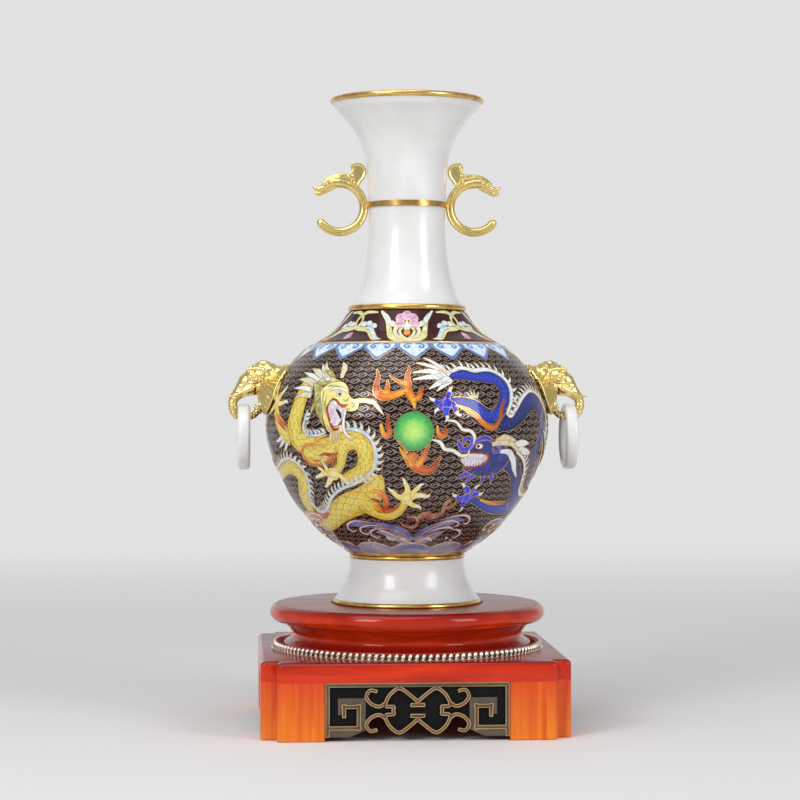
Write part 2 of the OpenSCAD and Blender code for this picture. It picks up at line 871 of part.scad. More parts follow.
module leg_front_left() { leg(-1, -1); }
module leg_front_right() { leg(1, -1); }
module leg_back_left() { leg(-1, 1); }
module leg_back_right() { leg(1, 1); }
module rail_front() { rail(0); }
module rail_right() { rail(1); }
module rail_back() { rail(2); }
module rail_left() { rail(3); }
module fret_front() { fret(0); }
module fret_right() { fret(1); }
module fret_back() { fret(2); }
module fret_left() { fret(3); }
module backing_front() { backing(0); }
module backing_right() { backing(1); }
module backing_back() { backing(2); }
module backing_left() { backing(3); }

leg_front_left();
leg_front_right();
leg_back_left();
leg_back_right();
rail_front();
rail_right();
rail_back();
rail_left();
deck_board();
dowels();
fret_front();
fret_right();
fret_back();
fret_left();
backing_front();
backing_right();
backing_back();
backing_left();
bead_ring();
race_lower();
race_lower_screws();
bearing_balls();
pivot_bolt();
pivot_nut();
plinth();
race_upper();
race_upper_screws();
bushing();
foot_ring_lower();
foot_stone();
foot_ring_upper();
body_shell();
shoulder_wire();
collar_ring();
neck_stone_lower();
neck_ring();
neck_stone_upper();
rim_ring();
tie_rod();
tie_nuts();
tie_washers();
dragon_handle_left();
dragon_handle_right();
elephant_head_left();
elephant_head_right();
head_nuts();
head_washers();
loose_ring_left();
loose_ring_right();
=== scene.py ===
from math import atan2, cos, degrees, floor, hypot, pi, radians, sin

import bmesh
import bpy
from mathutils import Matrix, Vector, noise
from mathutils.bvhtree import BVHTree
from mathutils.kdtree import KDTree


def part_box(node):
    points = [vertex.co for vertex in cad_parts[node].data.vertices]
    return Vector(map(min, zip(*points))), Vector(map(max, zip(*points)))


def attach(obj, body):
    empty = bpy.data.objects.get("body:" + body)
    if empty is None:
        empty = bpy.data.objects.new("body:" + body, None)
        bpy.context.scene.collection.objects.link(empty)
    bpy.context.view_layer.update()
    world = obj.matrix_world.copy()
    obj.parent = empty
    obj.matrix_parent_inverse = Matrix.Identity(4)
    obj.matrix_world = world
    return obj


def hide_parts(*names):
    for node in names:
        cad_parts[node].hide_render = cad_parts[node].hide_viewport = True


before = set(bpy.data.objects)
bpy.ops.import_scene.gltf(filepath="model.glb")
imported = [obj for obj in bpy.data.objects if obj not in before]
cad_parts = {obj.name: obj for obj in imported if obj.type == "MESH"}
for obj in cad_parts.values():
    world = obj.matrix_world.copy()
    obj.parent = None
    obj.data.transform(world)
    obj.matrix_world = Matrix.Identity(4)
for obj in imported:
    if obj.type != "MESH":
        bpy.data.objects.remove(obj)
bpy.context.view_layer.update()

mm = 0.001

# ---- Studio ---------------------------------------------------------------
# A pale table top that runs up into a pale backdrop, lit by soft boxes in front,
# at the sides and overhead.

scene = bpy.context.scene
scene.view_settings.view_transform = "Standard"

camera_data = bpy.data.cameras.new("camera")
camera_data.lens = 106.65
camera_data.sensor_width = 36
camera_data.clip_start = 0.05
camera_data.clip_end = 30
camera = bpy.data.objects.new("camera", camera_data)
scene.collection.objects.link(camera)
camera_distance = 1.453
camera_side = radians(-4)
camera.location = (camera_distance * sin(camera_side), -camera_distance * cos(camera_side), 0.204)
camera.rotation_euler = (radians(90 - 0.314), 0, camera_side + radians(0.169))
scene.camera = camera


def plain_material(name, colour, roughness=0.5, metallic=0.0):
    """A new material, with its node tree and its main shader."""
    material = bpy.data.materials.new(name)
    material.use_nodes = True
    shader = material.node_tree.nodes["Principled BSDF"]
    shader.inputs["Base Color"].default_value = (*colour, 1)
    shader.inputs["Roughness"].default_value = roughness
    shader.inputs["Metallic"].default_value = metallic
    return material, material.node_tree, shader


def link(tree, source, target):
    tree.links.new(source, target)


def noise_node(tree, scale, detail=2.0, distortion=0.0):
    """A noise texture of the given scale and detail."""
    node = tree.nodes.new("ShaderNodeTexNoise")
    node.inputs["Scale"].default_value = scale
    node.inputs["Detail"].default_value = detail
    node.inputs["Distortion"].default_value = distortion
    return node


def math_node(tree, operation, a, b=None, clamp=False):
    """The result of a sum on numbers or sockets."""
    node = tree.nodes.new("ShaderNodeMath")
    node.operation = operation
    node.use_clamp = clamp
    for socket, value in ((0, a), (1, b)):
        if value is None:
            continue
        if isinstance(value, (int, float)):
            node.inputs[socket].default_value = value
        else:
            link(tree, value, node.inputs[socket])
    return node.outputs[0]


def mix_node(tree, factor, a, b):
    """A mix of two colours, each given as a value or a socket."""
    node = tree.nodes.new("ShaderNodeMix")
    node.data_type = "RGBA"
    for socket, value in (("Factor", factor), ("A", a), ("B", b)):
        if isinstance(value, (int, float)):
            node.inputs[socket].default_value = value
        elif isinstance(value, tuple):
            node.inputs[socket].default_value = (*value, 1)
        else:
            link(tree, value, node.inputs[socket])
    return node.outputs["Result"]


def add_object(name, bm, *materials, smooth=True, sharp=None):
    """Makes a mesh into an object; edges over sharp degrees stay hard."""
    mesh = bpy.data.meshes.new(name)
    bm.to_mesh(mesh)
    bm.free()
    for material in materials:
        mesh.materials.append(material)
    for face in mesh.polygons:
        face.use_smooth = smooth
    if sharp:
        mesh.set_sharp_from_angle(angle=radians(sharp))
    piece = bpy.data.objects.new(name, mesh)
    scene.collection.objects.link(piece)
    return piece


floor_material, floor_tree, floor_shader = plain_material("table_top", (0.80, 0.79, 0.78), 0.75)
floor_noise = noise_node(floor_tree, 3)
floor_tint = mix_node(floor_tree, floor_noise.outputs["Fac"], (0.79, 0.78, 0.77), (0.83, 0.82, 0.81))
link(floor_tree, floor_tint, floor_shader.inputs["Base Color"])

floor_where = floor_tree.nodes.new("ShaderNodeTexCoord")
floor_split = floor_tree.nodes.new("ShaderNodeSeparateXYZ")
floor_far = floor_tree.nodes.new("ShaderNodeMapRange")
floor_far.interpolation_type = "SMOOTHSTEP"
floor_far.inputs["From Min"].default_value = 0.0
floor_far.inputs["From Max"].default_value = 1.7
floor_far.inputs["To Max"].default_value = 0.9
floor_ray = floor_tree.nodes.new("ShaderNodeLightPath").outputs
floor_through = math_node(floor_tree, "ADD", floor_ray["Is Glossy Ray"], floor_ray["Is Transmission Ray"])
floor_seen = math_node(floor_tree, "ADD", floor_ray["Is Camera Ray"], floor_through, clamp=True)
floor_share = math_node(floor_tree, "MULTIPLY", floor_seen, floor_far.outputs["Result"])
floor_glow = floor_tree.nodes.new("ShaderNodeEmission")
floor_glow.inputs["Color"].default_value = (0.80, 0.80, 0.80, 1)
floor_mix = floor_tree.nodes.new("ShaderNodeMixShader")
link(floor_tree, floor_where.outputs["Object"], floor_split.inputs["Vector"])
link(floor_tree, floor_split.outputs["Y"], floor_far.inputs["Value"])
link(floor_tree, floor_share, floor_mix.inputs["Fac"])
link(floor_tree, floor_shader.outputs["BSDF"], floor_mix.inputs[1])
link(floor_tree, floor_glow.outputs["Emission"], floor_mix.inputs[2])
link(floor_tree, floor_mix.outputs["Shader"], floor_tree.nodes["Material Output"].inputs["Surface"])

table_half = 3
cove_steps = 12
cove_step = 0.13
backdrop_tall = 4
bm = bmesh.new()
bmesh.ops.create_grid(bm, x_segments=1, y_segments=1, size=table_half)
back_edge = [e for e in bm.edges if all(v.co.y > 2 for v in e.verts)]
for lift in range(1, cove_steps + 1):
    risen = bmesh.ops.extrude_edge_only(bm, edges=back_edge)["geom"]
    turn = radians(90 / cove_steps * lift)
    for v in [g for g in risen if isinstance(g, bmesh.types.BMVert)]:
        v.co += Vector((0, cove_step * cos(turn), cove_step * sin(turn)))
    back_edge = [g for g in risen if isinstance(g, bmesh.types.BMEdge) and all(v in risen for v in g.verts)]
risen = bmesh.ops.extrude_edge_only(bm, edges=back_edge)["geom"]
for v in [g for g in risen if isinstance(g, bmesh.types.BMVert)]:
    v.co.z += backdrop_tall
backdrop = add_object("table_and_backdrop", bm, floor_material)

world = bpy.data.worlds.new("studio")
scene.world = world
world.use_nodes = True
world.node_tree.nodes["Background"].inputs["Color"].default_value = (0.93, 0.95, 1.0, 1)
world.node_tree.nodes["Background"].inputs["Strength"].default_value = 0.42


def soft_box(name, place, aim, width, height, watts):
    """A flat rectangular lamp at a place, facing the aim."""
    lamp = bpy.data.lights.new(name, "AREA")
    lamp.shape = "RECTANGLE"
    lamp.size = width
    lamp.size_y = height
    lamp.energy = watts
    holder = bpy.data.objects.new(name, lamp)
    holder.location = place
    holder.rotation_euler = (Vector(aim) - Vector(place)).to_track_quat("-Z", "Y").to_euler()
    scene.collection.objects.link(holder)


lit_point = (0, 0, 0.2)
soft_box("box_left", (-0.95, -1.15, 0.95), lit_point, 0.5, 0.8, 9)
soft_box("box_right", (1.05, -1.0, 0.8), lit_point, 0.5, 0.8, 6.5)
soft_box("box_above", (-0.25, -0.35, 1.35), lit_point, 1.0, 1.0, 6)

# ---- Turned pieces --------------------------------------------------------
# White stone is turned and polished on the lathe; the gilt rings between the
# stones are turned brass. Each is spun from its section in the frame.

turned_steps = 128
edge_angle = 40


def ramp_node(tree, *stops):
    """A colour ramp through stops of (position, colour), given in order."""
    node = tree.nodes.new("ShaderNodeValToRGB")
    ramp = node.color_ramp
    for n, (position, colour) in ((0, stops[0]), (1, stops[-1])):
        ramp.elements[n].position = position
        ramp.elements[n].color = (*colour, 1)
    for position, colour in stops[1:-1]:
        ramp.elements.new(position).color = (*colour, 1)
    return node


def section(node):
    """The half outline of a turned node, cut in front of the axis."""
    bm = bmesh.new()
    bm.from_mesh(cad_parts[node].data)
    bmesh.ops.remove_doubles(bm, verts=bm.verts, dist=0.002 * mm)
    for normal, both in (((1, 0, 0), True), ((0, 1, 0), False)):
        geometry = bm.verts[:] + bm.edges[:] + bm.faces[:]
        bmesh.ops.bisect_plane(bm, geom=geometry, plane_co=(0, 0, 0), plane_no=normal,
                               dist=0.0001 * mm, clear_outer=True, clear_inner=both)
    return bm


def turned(node, steps=turned_steps):
    """Spins the section of a CAD node into one smooth mesh."""
    bm = section(node)
    bmesh.ops.remove_doubles(bm, verts=bm.verts, dist=0.005 * mm)
    bmesh.ops.spin(bm, geom=bm.verts[:] + bm.edges[:], cent=(0, 0, 0), axis=(0, 0, 1),
                   angle=2 * pi, steps=steps, use_merge=True)
    bmesh.ops.remove_doubles(bm, verts=bm.verts, dist=0.005 * mm)
    bmesh.ops.recalc_face_normals(bm, faces=bm.faces)
    return bm


def clouded(name, colour, metallic, cloud, tints, matt):
    """A polished finish with a faint cloud in its colour and between two polishes."""
    material, tree, shader = plain_material(name, colour, 0.22, metallic)
    where = tree.nodes.new("ShaderNodeTexCoord")
    wear = noise_node(tree, *cloud)
    tint = ramp_node(tree, *tints)
    polish = tree.nodes.new("ShaderNodeMapRange")
    polish.inputs["To Min"].default_value, polish.inputs["To Max"].default_value = matt
    link(tree, where.outputs["Object"], wear.inputs["Vector"])
    link(tree, wear.outputs["Fac"], tint.inputs["Fac"])
    link(tree, wear.outputs["Fac"], polish.inputs["Value"])
    link(tree, tint.outputs["Color"], shader.inputs["Base Color"])
    link(tree, polish.outputs["Result"], shader.inputs["Roughness"])
    return material


stone = clouded("white_stone", (0.86, 0.86, 0.84), 0.0, (38, 6, 0.6),
                ((0.3, (0.80, 0.80, 0.77)), (0.62, (0.88, 0.88, 0.865))), (0.18, 0.3))
stone_shader = stone.node_tree.nodes["Principled BSDF"]
stone_shader.inputs["Subsurface Weight"].default_value = 0.25
stone_shader.inputs["Subsurface Radius"].default_value = (0.006, 0.005, 0.0045)
stone_shader.inputs["Subsurface Scale"].default_value = 1
stone_shader.inputs["Coat Weight"].default_value = 0.35
stone_shader.inputs["Coat Roughness"].default_value = 0.08

for node in ("foot_stone", "neck_stone_lower", "neck_stone_upper"):
    piece = add_object(node + "_polished", turned(node), stone, sharp=edge_angle)
    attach(piece, "vase")
    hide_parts(node)

gilt = clouded("gilt", (0.83, 0.53, 0.16), 1.0, (160, 5),
               ((0.35, (0.62, 0.33, 0.07)), (0.6, (0.88, 0.58, 0.19))), (0.34, 0.16))

for node in ("foot_ring_lower", "foot_ring_upper", "collar_ring", "neck_ring", "rim_ring"):
    piece = add_object(node + "_turned", turned(node), gilt, sharp=edge_angle)
    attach(piece, "vase")
    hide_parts(node)

# ---- Enamelled body -------------------------------------------------------
# A spun metal shell under fired enamel. Flat wires set on edge part the colours,
# and the whole is ground flush and polished. The ground is a net of small scrolls.

shell_tree = BVHTree.FromObject(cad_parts["body_shell"], bpy.context.evaluated_depsgraph_get())
shell_lo, shell_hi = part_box("body_shell")


def shell_radius(z):
    """Radius of the shell's outer face, met from the front at height z."""
    return -shell_tree.ray_cast(Vector((0, -1, z)), Vector((0, 1, 0)))[0].y


profile_step = 0.25 * mm
profile = []
length = 0.0
z = shell_lo.z + 0.01 * mm
while z < shell_hi.z:
    r = shell_radius(z)
    if profile:
        length += hypot(r - profile[-1][1], z - profile[-1][2])
    profile.append((length, r, z))
    z += profile_step
profile_end = profile[-1][0]


def on_profile(s):
    """Radius, height and slope of the outer face at a length s up the outline."""
    s = min(max(s, 0), profile_end)
    low, high = 0, len(profile) - 1
    while high - low > 1:
        middle = (low + high) // 2
        if profile[middle][0] <= s:
            low = middle
        else:
            high = middle
    a, b = profile[low], profile[high]
    share = (s - a[0]) / (b[0] - a[0])
    near, far = profile[max(low - 4, 0)], profile[min(high + 4, len(profile) - 1)]
    run = Vector((far[1] - near[1], far[2] - near[2])).normalized()
    return a[1] + share * (b[1] - a[1]), a[2] + share * (b[2] - a[2]), run


def length_at(z):
    """Length up the outline to a height z."""
    step = (z - profile[0][2]) / profile_step
    low = min(max(int(step), 0), len(profile) - 2)
    share = min(max(step - low, 0), 1)
    return profile[low][0] + share * (profile[low + 1][0] - profile[low][0])


# The scroll ground is drawn in the material, on degrees round and mm up.
ground, ground_tree, ground_shader = plain_material("scroll_ground", (0.03, 0.02, 0.02), 0.16)
ground_shader.inputs["Coat Weight"].default_value = 0.08
ground_shader.inputs["Specular IOR Level"].default_value = 0.15
ground_shader.inputs["Coat Roughness"].default_value = 0.06

scroll_wide = 360 / 68
scroll_across = 8.0
scroll_tall = 4.25
line_half = 0.17
ground_top = 157.5
band_foot = 158
waves_top = 20
t = ground_tree
ground_uv = t.nodes.new("ShaderNodeUVMap")
ground_uv.uv_map = "drawing"
ground_split = t.nodes.new("ShaderNodeSeparateXYZ")
link(t, ground_uv.outputs["UV"], ground_split.inputs["Vector"])
across, up = ground_split.outputs["X"], ground_split.outputs["Y"]
row = math_node(t, "DIVIDE", up, scroll_tall)
row_odd = math_node(t, "MODULO", math_node(t, "FLOOR", row), 2)
column = math_node(t, "ADD", math_node(t, "DIVIDE", across, scroll_wide),
                   math_node(t, "MULTIPLY", row_odd, 0.5))
cell_x = math_node(t, "MULTIPLY", math_node(t, "SUBTRACT", math_node(t, "FRACT", column), 0.5),
                   scroll_across)
cell_y = math_node(t, "MULTIPLY", math_node(t, "SUBTRACT", math_node(t, "FRACT", row), 0.5), scroll_tall)


def oval_line(x, y, wide, tall, half, roundness=2.0):
    """Mask of an oval line, from its half widths and its own half width; roundness 1 is a lozenge."""
    shares = [math_node(t, "POWER", math_node(t, "ABSOLUTE", math_node(t, "DIVIDE", place, size)),
                        roundness)
              for place, size in ((x, wide), (y, tall))]
    reach = math_node(t, "POWER", math_node(t, "ADD", *shares), 1 / roundness)
    off = math_node(t, "ABSOLUTE", math_node(t, "SUBTRACT", reach, 1))
    return math_node(t, "SUBTRACT", 1, math_node(t, "MULTIPLY", off, tall / half), clamp=True)


outer_oval = oval_line(cell_x, cell_y, 3.9, 1.95, line_half, 1.25)
outer_slant = math_node(t, "ADD", math_node(t, "MULTIPLY", cell_x, -1), math_node(t, "MULTIPLY", cell_y, 2))
outer_gap = math_node(t, "LESS_THAN", outer_slant, 3.2)
inner_x = math_node(t, "ADD", cell_x, 0.9)
inner_oval = oval_line(inner_x, math_node(t, "SUBTRACT", cell_y, 0.1), 1.4, 0.8, line_half, 1.4)
hook_x = math_node(t, "SUBTRACT", cell_x, 1.6)
hook_oval = oval_line(hook_x, math_node(t, "ADD", cell_y, 0.2), 1.0, 0.8, line_half)
hook_open = math_node(t, "GREATER_THAN", math_node(t, "ADD", hook_x, cell_y), -0.5)
scroll = math_node(t, "MAXIMUM", math_node(t, "MULTIPLY", outer_oval, outer_gap),
                   math_node(t, "MAXIMUM", inner_oval, math_node(t, "MULTIPLY", hook_oval, hook_open)))
scroll = math_node(t, "MULTIPLY", math_node(t, "POWER", scroll, 0.6),
                   math_node(t, "LESS_THAN", up, ground_top))
ground_cloud = noise_node(t, 0.09, 4)
link(t, ground_uv.outputs["UV"], ground_cloud.inputs["Vector"])
brown = mix_node(t, ground_cloud.outputs["Fac"], (0.007, 0.0035, 0.003), (0.028, 0.013, 0.011))
aubergine = mix_node(t, ground_cloud.outputs["Fac"], (0.035, 0.010, 0.012), (0.07, 0.022, 0.026))
enamel = mix_node(t, math_node(t, "GREATER_THAN", up, band_foot), brown, aubergine)
enamel = mix_node(t, math_node(t, "LESS_THAN", up, waves_top), enamel, (0.045, 0.014, 0.012))
enamel = mix_node(t, scroll, enamel, (0.66, 0.50, 0.42))
link(t, enamel, ground_shader.inputs["Base Color"])
link(t, math_node(t, "MULTIPLY", scroll, 0.35), ground_shader.inputs["Metallic"])
ground_polish = math_node(t, "ADD", math_node(t, "MULTIPLY", ground_cloud.outputs["Fac"], 0.12), 0.10)
link(t, ground_polish, ground_shader.inputs["Roughness"])

body_steps = 180
bm = turned("body_shell", steps=body_steps)
drawing = bm.loops.layers.uv.new("drawing")
for face in bm.faces:
    around = [degrees(atan2(loop.vert.co.x, -loop.vert.co.y)) for loop in face.loops]
    if max(around) - min(around) > 180:
        around = [a + 360 if a < 0 else a for a in around]
    for loop, a in zip(face.loops, around):
        loop[drawing].uv = (a, length_at(loop.vert.co.z) / mm)
vase_body = add_object("enamelled_body", bm, ground, sharp=edge_angle)
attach(vase_body, "vase")
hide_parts("body_shell")

# ---- Enamel cells and their wires -----------------------------------------
# Each coloured cell is a thin tile of enamel inside a wire. Tiles are drawn flat as
# outlines or as tapering strands, and laid on the body. The back repeats the front.

flat_scale = 1.5
tile_thick = 0.45
tile_proud = 0.10
wire_proud = 0.16
layer_step = 0.05
facet = 4.0
wires = bmesh.new()


def laid(angle, up, lift):
    """A point of the drawing: degrees round from the front, mm up the outline, mm proud."""
    r, z, run = on_profile(up * mm)
    r += run.y * lift * mm
    z -= run.x * lift * mm
    turn = radians(angle)
    return Vector((r * sin(turn), -r * cos(turn), z))


def smooth_line(points, steps, closed=False):
    """A smooth curve through the points, with the given steps between two of them."""
    count = len(points)
    spans = count if closed else count - 1
    line = []
    for i in range(spans):
        if closed:
            a, b, c, d = (Vector(points[(i + k) % count]) for k in (-1, 0, 1, 2))
        else:
            a, b, c, d = (Vector(points[min(max(i + k, 0), count - 1)]) for k in (-1, 0, 1, 2))
        for k in range(steps):
            t = k / steps
            line.append(0.5 * (2 * b + (c - a) * t + (2 * a - 5 * b + 4 * c - d) * t * t
                               + (3 * b - a - 3 * c + d) * t * t * t))
    if not closed:
        line.append(Vector(points[-1]))
    return line


def join(bm, part):
    """Adds a finished part to a larger mesh."""
    mesh = bpy.data.meshes.new("part")
    part.to_mesh(mesh)
    part.free()
    bm.from_mesh(mesh)
    bpy.data.meshes.remove(mesh)


def strand(bm, points, widths, layer=1, colour=0, rows=1, steps=6, across=2, edge=True, side=0):
    """A tapering strip along a smooth line; widths in mm are given at even spacing."""
    line = smooth_line([(a * flat_scale, s) for a, s in points], steps)
    last = len(line) - 1
    wide = [p.x for p in smooth_line([(w, 0) for w in widths], 12)]
    part = bmesh.new()
    grid = bmesh.ops.create_grid(part, x_segments=last, y_segments=across, size=0.5)["verts"]
    uv = part.loops.layers.uv.verify()
    run = [0.0]
    for i in range(last):
        width = max(wide[int((i + 0.5) / last * (len(wide) - 1))], 0.4)
        run.append(run[-1] + (line[i + 1] - line[i]).length * (rows / width if rows > 1 else 1))
    place = {}
    edges = {-1: {}, 1: {}}
    for v in grid:
        share, t = v.co.x + 0.5, 2 * v.co.y
        i = round(share * last)
        ahead = (line[min(i + 1, last)] - line[max(i - 1, 0)]).normalized()
        width = max(wide[min(round(share * (len(wide) - 1)), len(wide) - 1)], 0.02)
        p = line[i] + Vector((-ahead.y, ahead.x)) * width / 2 * t
        along = run[i] if rows > 1 else share
        place[v] = (along, (t + 1) / 2 * rows)
        if abs(t) > 0.99:
            edges[round(t)][i] = (p.x / flat_scale, p.y)
        v.co = laid(p.x / flat_scale + side, p.y, tile_proud + layer_step * layer)
    for face in part.faces:
        face.material_index = colour
        for loop in face.loops:
            loop[uv].uv = place[loop.vert]
    join(bm, part)
    if edge:
        for outer in edges.values():
            wire([outer[i] for i in sorted(outer)], layer, side)


def wire(line, layer, side=0, width=0.28):
    """A flat wire along a line of points that is already smooth."""
    flat = [Vector((a * flat_scale, s)) for a, s in line]
    last = len(flat) - 1
    part = bmesh.new()
    for v in bmesh.ops.create_grid(part, x_segments=last, y_segments=1, size=0.5)["verts"]:
        i = round((v.co.x + 0.5) * last)
        ahead = flat[min(i + 1, last)] - flat[max(i - 1, 0)]
        if ahead.length < 1e-6:
            ahead = Vector((1, 0))
        ahead.normalize()
        p = flat[i] + Vector((-ahead.y, ahead.x)) * width * v.co.y
        v.co = laid(p.x / flat_scale + side, p.y, wire_proud + layer_step * layer)
    join(wires, part)


def tile(bm, points, layer=1, colour=0, steps=4, edge=True, side=0):
    """A closed cell; its outline is smoothed unless steps is 1."""
    outline = smooth_line([(a * flat_scale, s) for a, s in points], steps, closed=True)
    part = bmesh.new()
    face = part.faces.new([part.verts.new((p.x, p.y, 0)) for p in outline])
    face.normal_update()
    if face.normal.z < 0:
        face.normal_flip()
    uv = part.loops.layers.uv.verify()
    lo = Vector((min(p.x for p in outline), min(p.y for p in outline)))
    hi = Vector((max(p.x for p in outline), max(p.y for p in outline)))
    for axis, normal in ((0, (1, 0, 0)), (1, (0, 1, 0))):
        cut = facet * floor(lo[axis] / facet) + facet
        while cut < hi[axis]:
            where = Vector(normal) * cut
            geometry = part.verts[:] + part.edges[:] + part.faces[:]
            bmesh.ops.bisect_plane(part, geom=geometry, plane_co=where, plane_no=normal, dist=1e-5)
            cut += facet
    for f in part.faces:
        f.material_index = colour
        for loop in f.loops:
            loop[uv].uv = ((loop.vert.co.x - lo.x) / (hi.x - lo.x), (loop.vert.co.y - lo.y) / (hi.y - lo.y))
    for v in part.verts:
        v.co = laid(v.co.x / flat_scale + side, v.co.y, tile_proud + layer_step * layer)
    join(bm, part)
    if edge:
        wire([(p.x / flat_scale, p.y) for p in outline + outline[:1]], layer, side)


def enamel_piece(name, bm, *materials):
    """Thickens the tiles down into the body, and hands the piece over."""
    bmesh.ops.triangulate(bm, faces=[f for f in bm.faces if len(f.verts) > 4])
    tops = bmesh.ops.extrude_face_region(bm, geom=bm.faces[:], use_keep_orig=True)["geom"]
    tops = {v for v in tops if isinstance(v, bmesh.types.BMVert)}
    for v in bm.verts:
        if v not in tops:
            run = on_profile(length_at(v.co.z))[2]
            out = Vector((v.co.x, v.co.y, 0)).normalized() * run.y
            out.z = -run.x
            v.co -= out * tile_thick * mm
    bmesh.ops.recalc_face_normals(bm, faces=bm.faces)
    piece = add_object(name, bm, *materials, sharp=50)
    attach(piece, "vase")
    return piece


def glazed(name, tone, coat=0.4, coat_roughness=0.06, specular=0.25):
    """The clear, ground and polished skin that every enamel has."""
    material, tree, shader = plain_material(name, tone, 0.15)
    shader.inputs["Specular IOR Level"].default_value = specular
    shader.inputs["Coat Weight"].default_value = coat
    shader.inputs["Coat Roughness"].default_value = coat_roughness
    return material, tree, shader


def enamel_colour(name, deep, pale, scale=400):
    """Opaque fired enamel: two tones that cloud into each other, in colour and in polish."""
    material, tree, shader = glazed(name, deep)
    where = tree.nodes.new("ShaderNodeTexCoord")
    cloud = noise_node(tree, scale, 4)
    ramp = ramp_node(tree, (0.35, deep), (0.65, pale))
    polish = math_node(tree, "ADD", math_node(tree, "MULTIPLY", cloud.outputs["Fac"], 0.14), 0.08)
    link(tree, where.outputs["Object"], cloud.inputs["Vector"])
    link(tree, cloud.outputs["Fac"], ramp.inputs["Fac"])
    link(tree, ramp.outputs["Color"], shader.inputs["Base Color"])
    link(tree, polish, shader.inputs["Roughness"])
    return material


# ---- Lappet border and shoulder band --------------------------------------
# Nineteen pointed white lappets edged in blue hang from a cream line. Above it lotus
# flowers, leaves and scrolls run round the shoulder on a dark ground.


def round_cell(a, s, wide, tall, step=60):
    """Points of a round outline about a place; wide is in degrees and tall in mm, each a half."""
    return [(a + wide * cos(radians(b)), s + tall * sin(radians(b))) for b in range(0, 360, step)]


def hoop(bm, s, width, layer, colour):
    """A plain band right round the body."""
    for n in range(72):
        line = [(5 * n, s), (5 * n + 2.5, s), (5 * n + 5, s)]
        strand(bm, line, [width, width], layer, colour, steps=1, edge=False)


lappet_blue = enamel_colour("lappet_blue", (0.05, 0.18, 0.56), (0.13, 0.34, 0.78))
pale_white = enamel_colour("white_enamel", (0.52, 0.70, 0.86), (0.82, 0.90, 0.94))
cream = enamel_colour("cream_enamel", (0.72, 0.66, 0.46), (0.86, 0.82, 0.66))
leaf_green = enamel_colour("leaf_enamel", (0.56, 0.62, 0.22), (0.84, 0.84, 0.52))
lotus_pink = enamel_colour("lotus_pink", (0.46, 0.20, 0.50), (0.72, 0.44, 0.68))
bead_orange = enamel_colour("bead_orange", (0.85, 0.20, 0.02), (0.92, 0.36, 0.05))

border = bmesh.new()
lappet_count = 19
for n in range(lappet_count):
    middle = 360 * n / lappet_count
    half = 180 / lappet_count
    for colour, inset, layer in ((0, 0, 1), (1, 2.2, 2)):
        foot = 141 + 1.25 * inset
        wide = half - inset * 0.72
        outline = [(-wide, 157.2 - inset * 0.35), (-wide, 152.4), (-wide * 0.8, 149.6 + inset * 0.4),
                   (-wide * 0.52, 146.8 + inset * 0.5), (-wide * 0.22, 143.2 + inset * 0.9), (0, foot)]
        outline += [(-a, s) for a, s in outline[-2::-1]]
        tile(border, [(middle + a, s) for a, s in outline], layer, colour, steps=1)
    for flip in (-1, 1):
        curl = [(0.9, 155.6), (3.4, 156.0), (5.4, 154.2), (4.6, 151.9), (2.9, 152.2), (2.9, 153.6),
                (3.8, 153.8)]
        strand(border, [(middle + flip * a, s) for a, s in curl], [0.8, 1.3, 1.5, 1.4, 1.2, 0.8], 3, 0,
               steps=4, edge=False)
hoop(border, 158.8, 2.2, 2, 2)
for quarter in range(4):
    a0 = 90 * quarter - 4

    def at(points, flip=1):
        return [(a0 + flip * a, s) for a, s in points]

    for flip in (-1, 1):
        strand(border, at([(0, 162), (6, 162), (11, 166), (14, 173), (17, 180), (24, 186.5)], flip),
               [4, 6, 6.4, 5.2, 4, 1.5], 2, 3)
        strand(border, at([(2, 163), (7, 166), (9, 172), (6, 176.5), (2, 175)], flip), [2, 4, 4.5, 4, 2.5],
               3, 2)
        strand(border, at([(1, 164), (4, 167), (5.5, 171.5), (3.5, 174)], flip), [1, 2.5, 3, 2], 4, 3,
               edge=False)
        tile(border, at([(9, 176), (11, 175), (14, 176.5), (15, 178.5), (12.5, 179.5), (10.5, 178.5)],
                        flip), 3, 1)
        strand(border, at([(13, 176), (17, 181), (25, 187)], flip), [2.6, 4.4, 1.4], 3, 1)
        scroll_line = [(17, 162.5), (22, 163), (26, 168), (31, 172.5), (40, 173.5), (47, 176), (47.5, 182),
                       (40, 186), (28, 186)]
        strand(border, at(scroll_line, flip), [1, 4.2, 5.4, 4.6, 3.8, 3.6, 3.2, 2.6, 1.2], 2, 3)
        strand(border, at([(17.5, 162), (21, 163.5), (24.5, 168), (29, 173.5), (34, 174.2)], flip),
               [1, 3.4, 4, 3.4, 2], 3, 1)
        for a, s in ((28, 176.5), (33, 178.5), (38, 178)):
            lobe = [(a - 3, s - 2.4), (a + 2.6, s - 2.2), (a + 3.2, s + 0.4), (a, s + 1.4),
                    (a - 2.6, s + 0.2)]
            tile(border, at(lobe, flip), 3, 1)
    tile(border, at(round_cell(45, 166.4, 2.8, 3.9, 45)), 4, 4)
    for a, s in ((0, 183.5), (-5.5, 181.5), (5.5, 181.5), (-6, 177.2), (6, 177.2)):
        tile(border, at(round_cell(a, s, 4.4, 3.2)), 3, 4)
    tile(border, at([(0, 180), (1.6, 177), (2.4, 173), (0, 171), (-2.4, 173), (-1.6, 177)]), 4, 1)
    tile(border, at(round_cell(0, 169.3, 2.4, 3.0, 45)), 5, 5)
enamel_piece("shoulder_enamel", border, lappet_blue, pale_white, cream, leaf_green, lotus_pink, bead_orange)

# ---- Flaming pearl --------------------------------------------------------
# A round green pearl with a pale heart, in a ring of separate flames.

